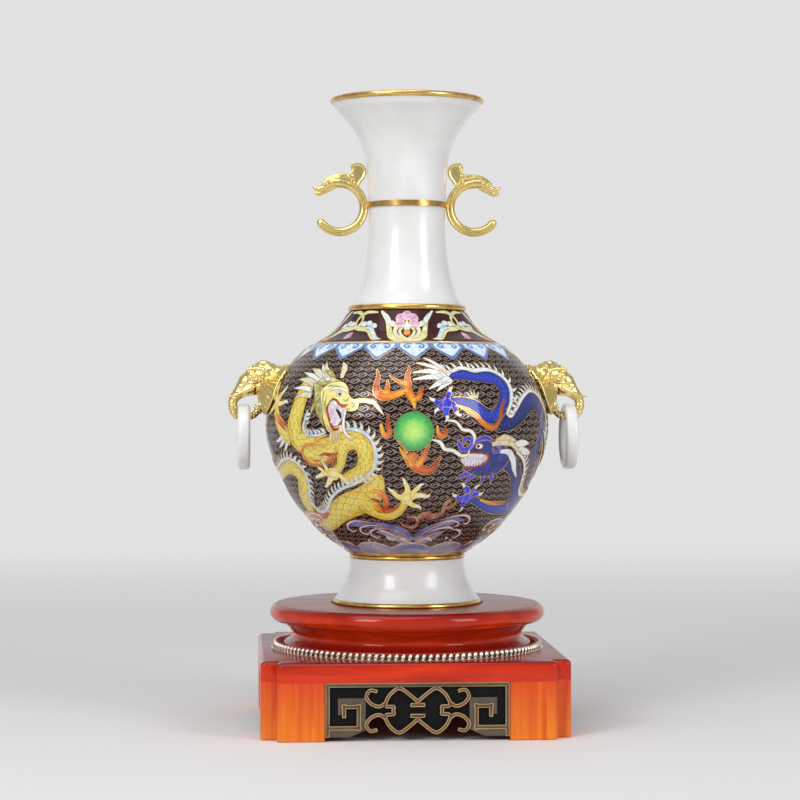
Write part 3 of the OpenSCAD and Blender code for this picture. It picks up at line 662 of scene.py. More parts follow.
sides = (0, 180)
pearl = bmesh.new()
flames = bmesh.new()
pearl_place = (-1.3, 95)
pearl_size = 11.4
for side in sides:
    tile(pearl, round_cell(*pearl_place, pearl_size / flat_scale, pearl_size, 15), 2, side=side, steps=2)
    flame_lines = [
        ([(-1, 108), (-1.6, 113), (-3.4, 118), (-3.6, 124), (-3.8, 129), (-3, 132), (-3.2, 136.5)],
         [0.8, 4, 5, 4.2, 3, 2.6, 0.6]),
        ([(-4, 119), (-7.5, 116.8), (-12, 115.4), (-15.4, 117), (-16.6, 122), (-16.2, 128), (-17.6, 133.5)],
         [3, 4, 5.2, 5.6, 3.6, 2.6, 0.6]),
        ([(-12.5, 117), (-11.8, 121), (-12.2, 126)], [4, 2.6, 0.6]),
        ([(-4, 123), (-7.5, 124.6), (-11.5, 128.5)], [2.6, 2.2, 0.6]),
        ([(-2, 113), (0.6, 114.6), (1.4, 118.4), (2.8, 121.4)], [2.4, 3.4, 2.6, 0.6]),
        ([(-14, 99), (-13.2, 94), (-12, 92.4), (-10.6, 94.6), (-11.4, 99.5), (-10.8, 105)],
         [1.8, 2.6, 3, 2.8, 2.2, 0.6]),
        ([(7.6, 98.5), (8, 94.4), (9.4, 92), (10.8, 93.6), (10.8, 97.8)], [0.8, 2.4, 3, 2.6, 0.8]),
        ([(-7, 85.5), (-5, 80.5), (-2.6, 77), (0, 73.4), (4.4, 71), (7, 73.6), (9.6, 80.5)],
         [0.6, 2.6, 5, 6, 5.2, 4, 0.8]),
        ([(-2.4, 74), (-3, 78), (-1.6, 80.6), (0.4, 79), (-1, 77)], [4, 4.6, 3.4, 2, 1]),
        ([(0, 74), (2.4, 79), (3.2, 83), (5, 86.6)], [3, 3.6, 2.4, 0.6]),
        ([(-4, 82), (-7.4, 90)], [1.6, 0.5]),
    ]
    for points, widths in flame_lines:
        strand(flames, points, widths, 3, side=side)

pearl_green, tree, shader = glazed("pearl_green", (0.1, 0.5, 0.12), 0.7, 0.05, 0.5)
shader.inputs["Roughness"].default_value = 0.14
pearl_uv = tree.nodes.new("ShaderNodeUVMap")
pearl_from = tree.nodes.new("ShaderNodeVectorMath")
pearl_from.operation = "DISTANCE"
pearl_from.inputs[1].default_value = (0.5, 0.5, 0)
pearl_cloud = noise_node(tree, 9, 5)
link(tree, pearl_uv.outputs["UV"], pearl_from.inputs[0])
link(tree, pearl_uv.outputs["UV"], pearl_cloud.inputs["Vector"])
pearl_stray = math_node(tree, "MULTIPLY", math_node(tree, "SUBTRACT", pearl_cloud.outputs["Fac"], 0.5),
                        0.22)
pearl_reach = math_node(tree, "ADD", pearl_from.outputs["Value"], pearl_stray)
pearl_ramp = ramp_node(tree, (0.0, (0.66, 0.88, 0.22)), (0.18, (0.42, 0.80, 0.16)),
                       (0.34, (0.11, 0.55, 0.12)),
                       (0.5, (0.03, 0.28, 0.07)))
link(tree, pearl_reach, pearl_ramp.inputs["Fac"])
link(tree, pearl_ramp.outputs["Color"], shader.inputs["Base Color"])
enamel_piece("green_pearl", pearl, pearl_green)

flame_red, tree, shader = glazed("flame_enamel", (0.8, 0.2, 0.02), 0.6, 0.06, 0.5)
flame_uv = tree.nodes.new("ShaderNodeUVMap")
flame_split = tree.nodes.new("ShaderNodeSeparateXYZ")
flame_noise = noise_node(tree, 300)
flame_where = tree.nodes.new("ShaderNodeTexCoord")
link(tree, flame_where.outputs["Object"], flame_noise.inputs["Vector"])
link(tree, flame_uv.outputs["UV"], flame_split.inputs["Vector"])
flame_edge = math_node(tree, "ABSOLUTE", math_node(tree, "SUBTRACT", flame_split.outputs["Y"], 0.5))
flame_along = math_node(tree, "MULTIPLY", flame_split.outputs["X"], 0.8)
flame_stray = math_node(tree, "MULTIPLY", math_node(tree, "SUBTRACT", flame_noise.outputs["Fac"], 0.5),
                        0.35)
flame_heat = math_node(tree, "ADD", math_node(tree, "MULTIPLY", flame_edge, 0.6), flame_along)
flame_heat = math_node(tree, "ADD", flame_heat, flame_stray)
flame_ramp = ramp_node(tree, (0.05, (0.95, 0.56, 0.06)), (0.4, (0.84, 0.20, 0.015)),
                       (0.85, (0.36, 0.02, 0.012)))
link(tree, flame_heat, flame_ramp.inputs["Fac"])
link(tree, flame_ramp.outputs["Color"], shader.inputs["Base Color"])
enamel_piece("pearl_flames", flames, flame_red)

# ---- Dragons --------------------------------------------------------------
# Two five-clawed dragons chase the pearl: a yellow one on the left, whose body loops
# twice, and a blue one on the right. Rows of round scales are parted by fine wires.

scales_group = bpy.data.node_groups.new("round_scales", "ShaderNodeTree")
scales_group.interface.new_socket("Rows", in_out="INPUT", socket_type="NodeSocketVector")
for socket in ("Line", "Depth", "Chance"):
    scales_group.interface.new_socket(socket, in_out="OUTPUT", socket_type="NodeSocketFloat")
t = scales_group
group_in = t.nodes.new("NodeGroupInput")
group_out = t.nodes.new("NodeGroupOutput")
scale_split = t.nodes.new("ShaderNodeSeparateXYZ")
link(t, group_in.outputs["Rows"], scale_split.inputs["Vector"])
scale_row = math_node(t, "FLOOR", scale_split.outputs["X"])
scale_x = math_node(t, "FRACT", scale_split.outputs["X"])
shift = math_node(t, "MULTIPLY", math_node(t, "MODULO", math_node(t, "ABSOLUTE", scale_row), 2), 0.5)
scale_y = math_node(t, "ADD", scale_split.outputs["Y"], shift)
scale_off = math_node(t, "MULTIPLY", math_node(t, "SUBTRACT", math_node(t, "FRACT", scale_y), 0.5), 2)
scale_reach = math_node(t, "SQRT", math_node(t, "ADD", math_node(t, "POWER", scale_x, 2),
                                             math_node(t, "POWER", scale_off, 2)))
scale_rim = math_node(t, "ABSOLUTE", math_node(t, "SUBTRACT", scale_reach, 0.97))
link(t, math_node(t, "SUBTRACT", 1, math_node(t, "MULTIPLY", scale_rim, 9), clamp=True),
     group_out.inputs["Line"])
link(t, math_node(t, "MULTIPLY", scale_reach, 1, clamp=True), group_out.inputs["Depth"])
scale_cell = t.nodes.new("ShaderNodeCombineXYZ")
link(t, scale_row, scale_cell.inputs["X"])
link(t, math_node(t, "FLOOR", scale_y), scale_cell.inputs["Y"])
scale_chance = t.nodes.new("ShaderNodeTexWhiteNoise")
scale_chance.noise_dimensions = "2D"
link(t, scale_cell.outputs["Vector"], scale_chance.inputs["Vector"])
link(t, scale_chance.outputs["Value"], group_out.inputs["Chance"])

body_rows = 3


def scale_enamel(name, heart, rim, border_tone, line):
    """Scales whose heart, rim and wire have their own colours; the strip's borders are deeper."""
    material, tree, shader = glazed(name, heart)
    rows = tree.nodes.new("ShaderNodeUVMap")
    group = tree.nodes.new("ShaderNodeGroup")
    group.node_tree = scales_group
    link(tree, rows.outputs["UV"], group.inputs["Rows"])
    split = tree.nodes.new("ShaderNodeSeparateXYZ")
    link(tree, rows.outputs["UV"], split.inputs["Vector"])
    colour = mix_node(tree, math_node(tree, "POWER", group.outputs["Depth"], 2), heart, rim)
    across = math_node(tree, "DIVIDE", split.outputs["Y"], body_rows)
    off_middle = math_node(tree, "ABSOLUTE", math_node(tree, "SUBTRACT", across, 0.5))
    deep = math_node(tree, "ADD", math_node(tree, "MULTIPLY", off_middle, 1.6),
                     math_node(tree, "MULTIPLY", group.outputs["Chance"], 0.35))
    deep = math_node(tree, "MULTIPLY", math_node(tree, "SUBTRACT", deep, 0.35), 1.1, clamp=True)
    colour = mix_node(tree, deep, colour, border_tone)
    colour = mix_node(tree, math_node(tree, "MULTIPLY", group.outputs["Line"], 0.85), colour, line)
    polish = math_node(tree, "ADD", math_node(tree, "MULTIPLY", group.outputs["Chance"], 0.1), 0.1)
    link(tree, colour, shader.inputs["Base Color"])
    link(tree, polish, shader.inputs["Roughness"])
    return material


spine_blue = enamel_colour("spine_blue", (0.42, 0.66, 0.86), (0.80, 0.90, 0.95), 250)
yellow_scales = scale_enamel("yellow_scales", (0.90, 0.66, 0.035), (0.92, 0.82, 0.26), (0.70, 0.42, 0.02),
                             (0.10, 0.07, 0.008))
blue_scales = scale_enamel("blue_scales", (0.02, 0.03, 0.42), (0.06, 0.10, 0.62), (0.012, 0.016, 0.16),
                           (0.006, 0.006, 0.05))
navy_scales = scale_enamel("navy_scales", (0.018, 0.022, 0.17), (0.045, 0.06, 0.30), (0.008, 0.010, 0.07),
                           (0.003, 0.003, 0.02))
spine_white = enamel_colour("spine_white", (0.72, 0.82, 0.88), (0.93, 0.95, 0.95), 250)
face_yellow = enamel_colour("face_yellow", (0.88, 0.74, 0.16), (0.93, 0.88, 0.50), 250)
horn_cream = enamel_colour("horn_cream", (0.62, 0.58, 0.36), (0.82, 0.78, 0.58), 300)
sage = enamel_colour("sage_enamel", (0.30, 0.30, 0.08), (0.62, 0.60, 0.26), 350)
mouth_lilac = enamel_colour("mouth_lilac", (0.60, 0.48, 0.58), (0.84, 0.76, 0.82), 400)
lip_red = enamel_colour("lip_red", (0.30, 0.03, 0.01), (0.52, 0.07, 0.02), 400)
eye_black = enamel_colour("eye_black", (0.01, 0.01, 0.012), (0.03, 0.03, 0.03), 400)
claw_blue = enamel_colour("claw_blue", (0.03, 0.04, 0.62), (0.08, 0.10, 0.82), 300)
dusk_blue = enamel_colour("dusk_blue", (0.022, 0.028, 0.15), (0.05, 0.06, 0.32), 200)

# Slot numbers of the two dragons' enamels. The ninth is the yellow dragon's fringe and the
# blue one's face; the tenth is the blue one's darker scales.
SCALES, WHITE, PLAIN, FLAME, HORN, SAGE, MOUTH, RED, BLACK, OWN, NAVY = range(11)


def spines(bm, line, tall, left, layer, side, colour=WHITE, base=2.2, pitch=3.4):
    """A fringe: a strip with curved teeth along one side of it."""
    strand(bm, line, [base * 0.6, base, base, base, base * 0.6], layer, colour, side=side)
    fine = smooth_line([(a * flat_scale, s) for a, s in line], 12)
    run = 0.0
    for i in range(1, len(fine) - 1):
        run += (fine[i] - fine[i - 1]).length
        if run < pitch:
            continue
        run = 0.0
        ahead = (fine[i + 1] - fine[i - 1]).normalized()
        out = Vector((-ahead.y, ahead.x)) * (1 if left else -1)
        root = fine[i] + out * base * 0.2
        tooth = [root - ahead * 0.6, root + out * tall * 0.55 - ahead * 1.0,
                 root + out * tall - ahead * 3.0]
        strand(bm, [(p.x / flat_scale, p.y) for p in tooth], [2.6, 1.7, 0.2], layer, colour, steps=3,
               across=1, side=side)


def paw(bm, middle, tips, thick, layer, side, colour=PLAIN):
    """A palm with five toes, each with a white hooked claw."""
    a, s = middle
    tile(bm, round_cell(a, s, thick * 0.55, thick * 0.8), layer + 1, colour, side=side, edge=False)
    for n, (ta, ts) in enumerate(tips):
        bend = 1.4 if n % 2 else -1.4
        middle_of_toe = ((a + ta) / 2 + bend * 0.5, (s + ts) / 2 + bend)
        strand(bm, [middle, middle_of_toe, (ta, ts)], [thick, thick * 0.62, thick * 0.5], layer, colour,
               side=side)
        tip = Vector((ta * flat_scale, ts))
        out = Vector(((ta - a) * flat_scale, ts - s)).normalized()
        hook = Vector((-out.y, out.x)) * (0.9 if n % 2 else -0.9)
        claw = [tip - out * 0.6, tip + out * 1.6, tip + out * 3.2 + hook * 1.4]
        strand(bm, [(p.x / flat_scale, p.y) for p in claw], [2.0, 1.7, 0.3], layer + 1, WHITE, steps=3,
               side=side)


yellow = bmesh.new()
for side in sides:
    def body(points, widths, layer):
        strand(yellow, points, widths, layer, SCALES, rows=body_rows, across=4, side=side)

    def stroke(colour, layer, points, widths, steps=5, edge=True):
        strand(yellow, points, widths, layer, colour, steps=steps, edge=edge, side=side)

    body([(-112, 88), (-104, 74), (-95, 66), (-85, 65), (-75, 68.5), (-66, 71.5), (-59.5, 69.5),
          (-57.5, 62), (-61, 54), (-65, 46), (-64, 38), (-58, 32.5)],
         [1.5, 4, 6, 7, 7.5, 9, 11, 12, 13, 13, 12, 8], 1)
    body([(-66, 29), (-58, 31.5), (-50, 35.5), (-42, 41.5), (-34, 46.5), (-27, 50), (-21, 55), (-18, 62),
          (-18, 68)],
         [7, 11, 13, 15, 17, 17, 16, 13, 10], 2)
    stroke(FLAME, 3, [(-84, 33), (-74, 37.5), (-64, 37.5), (-55, 38.5), (-49, 40.5)], [4, 6, 7, 5, 1.5])
    body([(-49, 130), (-50.5, 122), (-51.5, 114), (-53, 105), (-54, 97), (-52.5, 90), (-46, 86),
          (-39, 84.5), (-32, 86.5), (-27, 89.5),
          (-22.5, 88.5), (-20.4, 83), (-20.6, 76), (-23, 70), (-28, 66.5), (-34, 65)],
         [8, 10, 11, 12, 13, 14, 13, 12, 12, 11, 10.5, 11, 11, 10.5, 9, 4], 4)
    body([(-57, 90), (-62, 94), (-66, 100), (-69, 107), (-70, 112)], [10, 9, 8, 6, 6], 3)
    paw(yellow, (-70, 112), [(-62, 112), (-65, 119.5), (-73, 121), (-78, 114), (-77, 105)], 5, 3, side)
    stroke(FLAME, 5, [(-71, 105), (-66, 101), (-60, 95)], [2, 3.4, 0.8])
    stroke(FLAME, 5, [(-66, 104), (-62, 100), (-58.5, 97)], [1, 2.4, 0.6])
    for tuft in ([(-63, 91), (-67, 88.5), (-70, 88)], [(-62, 89), (-65, 86), (-68, 84)],
                 [(-60, 87.5), (-62, 84), (-64, 82)]):
        stroke(WHITE, 3, tuft, [2.6, 2, 0.3])
    body([(-30.5, 86), (-31, 80), (-32.5, 74), (-36, 69)], [9, 6.5, 5, 5], 5)
    body([(-50, 82.5), (-46, 80.5), (-41, 81), (-35, 83.5)], [5, 12, 12, 8], 6)
    stroke(FLAME, 7, [(-36.5, 92.5), (-41, 90.5), (-43.5, 87), (-48, 86.5), (-50.8, 82), (-49.5, 77),
                      (-45, 73.8), (-39, 75.5), (-35, 79), (-32.5, 82)],
           [0.8, 1.6, 1.4, 1.6, 1.9, 1.9, 1.9, 2.2, 2.4, 1])
    stroke(FLAME, 8, [(-47.5, 78.5), (-44.5, 76.8), (-41.5, 77.5)], [0.8, 1.8, 0.6])
    stroke(RED, 8, [(-42, 80), (-38.5, 81.2), (-35.5, 80.4), (-32.4, 81.8)], [0.6, 2, 3, 0.8])
    stroke(RED, 8, [(-35.4, 80), (-35, 76), (-36.4, 72.5)], [2.6, 2, 0.6])
    paw(yellow, (-37, 68.5), [(-42.6, 71.6), (-45.4, 66.6), (-41.6, 61.5), (-31.5, 63.5), (-40, 74.5)], 5,
        6, side)
    body([(-26, 50), (-21, 45), (-16, 40.5), (-11, 41), (-7, 45), (-4.5, 52)], [14, 12, 8, 7, 6, 5.5], 4)
    paw(yellow, (-4, 53), [(-10.8, 58), (-5, 63.5), (1.4, 61), (4.6, 54.2), (1.6, 47)], 5.4, 5, side)
    stroke(FLAME, 6, [(-21.5, 57), (-16.5, 57), (-13.8, 52), (-15, 45.5), (-18, 43)], [1, 3.5, 4, 3.5, 0.8])
    stroke(RED, 7, [(-21, 52.4), (-18, 51), (-16, 49)], [1, 2.6, 0.6])
    stroke(FLAME, 6, [(-20, 46.5), (-17, 44.5), (-13, 43.5), (-9, 46.5), (-6.5, 50.5)],
           [3.4, 4.4, 2.4, 2, 0.6])
    spines(yellow, [(-29, 96), (-25, 96), (-20.6, 94), (-17.6, 89), (-16.4, 82), (-17, 75), (-19.4, 69.5),
                    (-24, 65)], 4.4, True, 5, side, colour=OWN)
    spines(yellow, [(-21, 67), (-28, 62), (-35, 58.5), (-41, 53.5), (-46, 47), (-51, 42.5), (-56, 41.5),
                    (-59, 45), (-58, 51), (-54.5, 58), (-53, 66),
                    (-55, 73), (-61, 77.5), (-69, 76), (-78, 72), (-88, 70.5), (-98, 74), (-106, 84),
                    (-113, 94)], 4.2, False, 6, side, colour=OWN)
    spines(yellow, [(-46.5, 107), (-47.8, 101), (-48.4, 96), (-46, 92.6), (-41, 92.4), (-37, 94)], 3.4,
           True, 5, side, colour=OWN, base=1.8, pitch=2.8)
    for colour, points, widths in ((HORN, [(-36, 123.5), (-40, 129), (-43.5, 134.5), (-45.5, 140)],
                                    [5, 5.2, 3, 0.5]),
                                   (WHITE, [(-39, 125.5), (-43, 131), (-47, 137.5)], [3.2, 3.4, 0.5]),
                                   (HORN, [(-41, 125.5), (-46.5, 131), (-52, 134)], [5, 4.4, 0.5]),
                                   (WHITE, [(-43, 124.5), (-49, 128.5), (-56, 131)], [3, 3, 0.5]),
                                   (HORN, [(-45, 122.5), (-51, 125.5), (-57, 126)], [5, 3.8, 0.5]),
                                   (WHITE, [(-46, 119), (-52, 120.5), (-58, 120)], [3, 2.8, 0.5]),
                                   (HORN, [(-46, 116), (-51, 116), (-56, 114)], [4, 3, 0.5]),
                                   (SAGE, [(-32, 122.6), (-38, 125), (-43, 123.6), (-47, 119)],
                                    [3, 5, 4.4, 0.8])):
        stroke(colour, 6, points, widths)
    stroke(SAGE, 7, [(-43, 132), (-39.5, 130.5), (-36, 127.4)], [1, 3.4, 0.6])
    stroke(HORN, 7, [(-35.4, 139), (-33, 134), (-32.6, 127)], [0.5, 4.4, 2.4])
    tile(yellow, [(-46.5, 123.5), (-42, 122), (-39.5, 118.5), (-41, 114), (-43.5, 112), (-44.5, 118)], 6,
         SAGE, side=side)
    for points in ([(-41, 116), (-43.5, 110), (-45, 104.5)], [(-40.5, 113), (-41.5, 107), (-38.8, 101)],
                   [(-39.8, 110), (-39.6, 103), (-37.8, 97.5)]):
        stroke(SAGE, 6, points, [3.2, 2.8, 0.4])
    tile(yellow, [(-41, 119), (-38, 123), (-34, 124.5), (-30.5, 123.5), (-28.2, 119.6), (-27.6, 116),
                  (-26, 113.8), (-24.2, 112.4), (-23.2, 109.6), (-24.8, 106.8), (-27.8, 106.8),
                  (-28.4, 109), (-30, 109.2), (-32, 111.5), (-34, 113.8), (-36, 112), (-36.6, 107),
                  (-35.4, 101), (-33.8, 97.4), (-31, 98), (-28.4, 99.4), (-28.6, 95.6),
                  (-32, 93.2), (-35.6, 94.6), (-37.8, 100), (-39.4, 108), (-40.6, 114)], 8, PLAIN,
         side=side, steps=3)
    tile(yellow, [(-35.8, 111.5), (-34, 113), (-32, 110.8), (-30, 108.6), (-28, 108.4), (-28.4, 105),
                  (-30, 101), (-31.5, 98.2), (-33.6, 98), (-35, 102), (-36.2, 107)], 7, MOUTH, side=side)
    stroke(BLACK, 8, [(-32.6, 107.6), (-31, 105), (-30.2, 102)], [0.8, 2, 0.6], edge=False)
    stroke(RED, 9, [(-35, 114), (-33, 113), (-31.4, 110.6), (-29.8, 109.4), (-27.6, 110.4)],
           [0.5, 1.3, 1.5, 2, 0.6], edge=False)
    stroke(RED, 9, [(-36.4, 110.8), (-36.8, 107.6), (-35.4, 101.6), (-34, 96.8), (-32.4, 95.8),
                    (-30.8, 97)], [0.5, 1.5, 1.5, 1.6, 1.8, 0.6], edge=False)
    for a, s in ((-33.2, 111.6), (-31.2, 109.4), (-34.6, 99.6), (-32.2, 98.4)):
        stroke(WHITE, 9, [(a, s), (a + 0.6, s + (-2.4 if s > 105 else 2.4))], [1.4, 0.2], steps=2,
               edge=False)
    stroke(WHITE, 10, [(-26.6, 112), (-22.4, 112.8), (-17.4, 111.8), (-14.6, 107.4), (-13, 104.4)],
           [1, 2, 2.2, 1.8, 0.5])
    stroke(WHITE, 10, [(-28.4, 107), (-29, 101), (-28.6, 95), (-26.6, 91.6), (-24.6, 91)],
           [1.6, 1.6, 1.8, 1.6, 0.4])
    stroke(WHITE, 9, [(-37, 118.4), (-33.6, 120.4), (-29.6, 119), (-28, 116.4)], [0.8, 2, 1.6, 0.5])
    stroke(SAGE, 9, [(-26.6, 112), (-25.4, 111), (-25, 109.4), (-26, 108.6)], [0.5, 1.2, 1.2, 0.5],
           edge=False)
    for points in ([(-39.6, 119), (-39.4, 112), (-38.2, 104)], [(-38, 121.4), (-35, 121.8), (-32, 120.4)],
                   [(-37.8, 116), (-38, 110), (-37, 104)],
                   [(-30, 113.4), (-28.4, 112.6), (-27.4, 114.6)],
                   [(-26.4, 108), (-27.6, 107.6), (-28.4, 108.4)],
                   [(-36.4, 99), (-35.2, 95.6), (-32.6, 94.2)]):
        stroke(SAGE, 9, points, [0.4, 1.3, 0.4], edge=False)
    for n in range(4):
        stroke(HORN, 9, [(-34.4 + 1.1 * n, 94.2 + 0.5 * n), (-34.8 + 1.3 * n, 90.4 + 0.4 * n),
                         (-33.6 + 1.2 * n, 87.6 + 0.8 * n)], [1.6, 1.3, 0.3])
    tile(yellow, round_cell(-32, 116.6, 1.3, 1.5), 9, WHITE, side=side)
    tile(yellow, round_cell(-31.8, 116.5, 0.6, 0.9), 10, BLACK, side=side, edge=False)
enamel_piece("yellow_dragon", yellow, yellow_scales, spine_white, face_yellow, flame_red, horn_cream, sage,
             mouth_lilac, lip_red, eye_black, spine_blue)

blue = bmesh.new()
for side in sides:
    def body(points, widths, layer, colour=SCALES):
        strand(blue, points, widths, layer, colour, rows=body_rows, across=4, side=side)

    def stroke(colour, layer, points, widths, steps=5, edge=True):
        strand(blue, points, widths, layer, colour, steps=steps, edge=edge, side=side)

    body([(35, 97), (39, 99.5), (46, 105), (53, 111.5), (60, 112.5), (65.5, 106), (66.5, 97), (64, 88),
          (61, 80), (60, 72)], [5, 10, 12, 12, 13, 13, 12, 11, 9, 5], 1, NAVY)
    spines(blue, [(38.6, 105), (41, 103.4), (45, 108.6), (50, 114.5), (57, 118.8), (64, 117), (69, 110),
                  (71.6, 100), (69.6, 90)], 4.6, True, 2, side, base=2.6)
    body([(33, 80), (40, 77), (47, 72), (53, 64), (57, 55), (63, 48), (72, 44), (84, 44), (94, 52),
          (99, 62)], [9, 10, 10, 11, 12, 13, 13, 10, 6, 1.5], 2, NAVY)
    spines(blue, [(46, 82), (52, 77.5), (57, 70.5), (59.4, 62), (61.6, 56), (67, 53), (75, 52.6), (84, 51)],
           4.6, True, 4, side, base=2.4)
    body([(8.5, 130.8), (13, 128.8), (19, 129.5), (24, 128.6), (30, 127.6), (35, 127.2), (39, 123.5),
          (39.6, 117), (37.6, 111), (34.4, 106), (31, 103)],
         [0.8, 4, 7, 7.5, 7.5, 9, 10, 9.5, 8, 7, 5], 3)
    body([(36, 108), (32, 103.5), (28, 104.5), (23, 109.5), (18, 112), (13, 112)], [8, 9, 8, 8, 6, 5], 4)
    stroke(FLAME, 5, [(15.5, 110), (19.5, 107.6), (23, 104.6), (26, 100.4), (29.5, 97), (33, 98), (35, 103),
                      (36.5, 109), (38.5, 114)], [0.6, 2.4, 3, 3, 3, 2.4, 2.2, 2.2, 0.6])
    spines(blue, [(10, 131.8), (15, 131.6), (21, 134.4), (27, 132.4), (33, 133.4), (38, 131.6), (42, 127),
                  (43.6, 120.6), (42.4, 113), (40, 107.4), (38.8, 104.6)],
           5.6, True, 4, side, base=3.2, pitch=4.2)
    for points, widths in (([(14.5, 129), (11.5, 134), (8, 139), (4, 142.4)], [4, 3, 2.4, 0.6]),
                           ([(12.5, 129), (9.5, 134), (5, 136.5), (0.4, 138.4)], [4.4, 3, 2.4, 0.6]),
                           ([(11, 129), (6, 131.8), (-1.5, 130.6)], [4.6, 3.4, 0.8]),
                           ([(11, 128), (5, 127.4), (-1.5, 125.8)], [4.6, 3.2, 0.8]),
                           ([(13, 126), (9, 123.4), (5, 119.8)], [4.6, 3.4, 0.8]),
                           ([(14.6, 125), (11.4, 122.4), (8, 118.4)], [3, 2.8, 0.8]),
                           ([(7, 130.5), (10.5, 128), (15.4, 124.6)], [5, 8, 0.4])):
        stroke(WHITE, 5, points, widths)
    for points in ([(22.5, 114), (20.4, 117.6)], [(23, 114), (22.4, 119.6)], [(24, 114), (24, 119.4)],
                   [(24.6, 114), (26, 118)]):
        stroke(HORN, 5, points, [1.6, 0.3], steps=3, edge=False)
    paw(blue, (12, 111.5), [(6.6, 113.2), (8, 107.6), (11.6, 103.4), (15.4, 105.8), (13.4, 118.4)], 5.6, 5,
        side)
    body([(62, 44), (54, 43), (46, 43.5), (38, 46), (31, 50), (26, 53)], [8, 8, 7, 6, 5, 5], 3)
    stroke(FLAME, 4, [(33, 51), (40, 48.6), (47, 48), (53, 48.6)], [0.8, 2.4, 2.8, 0.8])
    paw(blue, (25, 53), [(19, 54.4), (22, 60.6), (28.2, 59.4), (31.4, 55), (24.2, 45.4)], 5.4, 5, side)
    tile(blue, [(21, 82), (22.4, 86.6), (25, 90.4), (28.4, 91.4), (32, 89.6), (36, 87.4), (40.5, 83.5),
                (42.4, 78), (41, 72.6), (37, 68.4), (31, 66.4), (25, 68.2), (21, 70.8),
                (19.6, 73), (22.4, 74.6), (28.6, 76), (30, 78.6), (28, 81)], 5, OWN, side=side, steps=3)
    tile(blue, [(18, 78.8), (21, 80.8), (28, 81.2), (30.4, 78.6), (28.8, 75.4), (22, 73.8), (19, 75.6)], 4,
         MOUTH, side=side)
    for n in range(6):
        stroke(WHITE, 6, [(21.6 + 1.2 * n, 81.4), (21.7 + 1.2 * n, 78.6)], [1.5, 0.8], steps=2, edge=False)
        stroke(WHITE, 6, [(20.8 + 1.3 * n, 73.8), (20.9 + 1.3 * n, 76.2)], [1.5, 0.8], steps=2, edge=False)
    stroke(RED, 7, [(20.6, 82.2), (25, 82), (29.4, 81.2), (31, 78.4), (29.4, 75.2), (24.4, 73), (20, 72.6)],
           [0.5, 1.1, 1.1, 1.2, 1.1, 1.1, 0.5], edge=False)
    stroke(PLAIN, 6, [(16, 90.4), (17, 86.6), (18.5, 84), (20.6, 84.8), (22.2, 87.4), (21.2, 90.6),
                      (18.6, 90.4), (18.6, 88), (20, 87.8)], [0.8, 2.6, 2.8, 2.8, 2.6, 2.4, 2, 1.4, 0.6])
    stroke(PLAIN, 7, [(22.6, 87), (25, 90), (29, 90.8), (31.4, 88)], [0.8, 2.4, 2.4, 0.8])
    tile(blue, round_cell(25.4, 86, 1.6, 1.5), 7, WHITE, side=side)
    tile(blue, round_cell(25, 86, 0.7, 0.9), 8, BLACK, side=side, edge=False)
    stroke(HORN, 6, [(33, 88.4), (36.5, 91), (40.6, 90.2), (44.4, 88.6)], [2, 3.2, 2.8, 1])
    stroke(HORN, 7, [(31.4, 87), (36, 88), (42, 87), (46, 83.4), (49.4, 81.6)], [2.4, 3.2, 3, 2.2, 0.6])
    stroke(PLAIN, 7, [(32, 85), (33, 82.4), (35.4, 82.8), (35.4, 85.2), (33.8, 85.4)],
           [0.8, 1.6, 1.8, 1.6, 0.6])
    for points in ([(36, 82.6), (41, 82), (45, 77), (48, 71), (52, 65.5)],
                   [(43, 86.6), (48, 87.2), (53.4, 87)], [(47, 84), (51, 82.4), (56.4, 80.6)]):
        stroke(WHITE, 6, points, [2, 4, 4, 0.6])
    for points in ([(24, 70), (20.4, 68), (17.2, 65.4)], [(26.5, 69), (23.6, 65.6), (21.6, 62)],
                   [(30, 68), (30.4, 64.6), (29.4, 62)], [(34, 68), (35.6, 65), (35.4, 62)]):
        stroke(PLAIN, 4, points, [3.4, 2.6, 0.4])
    stroke(WHITE, 8, [(11.5, 101.2), (15, 100.3), (17.6, 96), (21, 95), (23, 91.5), (22.6, 87.5)],
           [1, 1.6, 1.8, 2, 1.8, 0.8])
    stroke(WHITE, 8, [(5.5, 90.2), (8.8, 88.6), (10.8, 84.6), (14.4, 83.6), (17.8, 80.6), (20.6, 81),
                      (21.2, 84)], [0.6, 2, 2, 2, 2, 1.6, 0.6])
enamel_piece("blue_dragon", blue, blue_scales, spine_white, claw_blue, flame_red, horn_cream, sage,
             mouth_lilac, lip_red, eye_black, dusk_blue, navy_scales)

# ---- Waves and cloud ------------------------------------------------------
# Lilac and blue waves with curling foam stand round the lower body, above a gilt
# band; a small brown cloud drifts over the middle of them.

wave_blue = enamel_colour("wave_blue", (0.12, 0.14, 0.36), (0.26, 0.30, 0.58), 120)
wave_lilac = enamel_colour("wave_lilac", (0.26, 0.22, 0.36), (0.44, 0.42, 0.56), 120)
foam = enamel_colour("foam_enamel", (0.56, 0.52, 0.62), (0.82, 0.78, 0.84), 250)
cloud_brown = enamel_colour("cloud_brown", (0.30, 0.12, 0.08), (0.58, 0.36, 0.28), 150)
waves = bmesh.new()
hoop(waves, 2, 3.4, 3, 4)
hoop(waves, 7.5, 8.5, 1, 1)
for n in range(12):
    a = 30 * n
    strand(waves, [(a - 18, 6), (a - 10, 10.5), (a, 13), (a + 10, 10.5), (a + 18, 6)], [2, 6, 7, 6, 2], 2,
           n % 2)
    strand(waves, [(a - 14, 12), (a - 6, 15.6), (a + 4, 15.6), (a + 12, 12)], [0.8, 1.6, 1.6, 0.8], 3, 2)
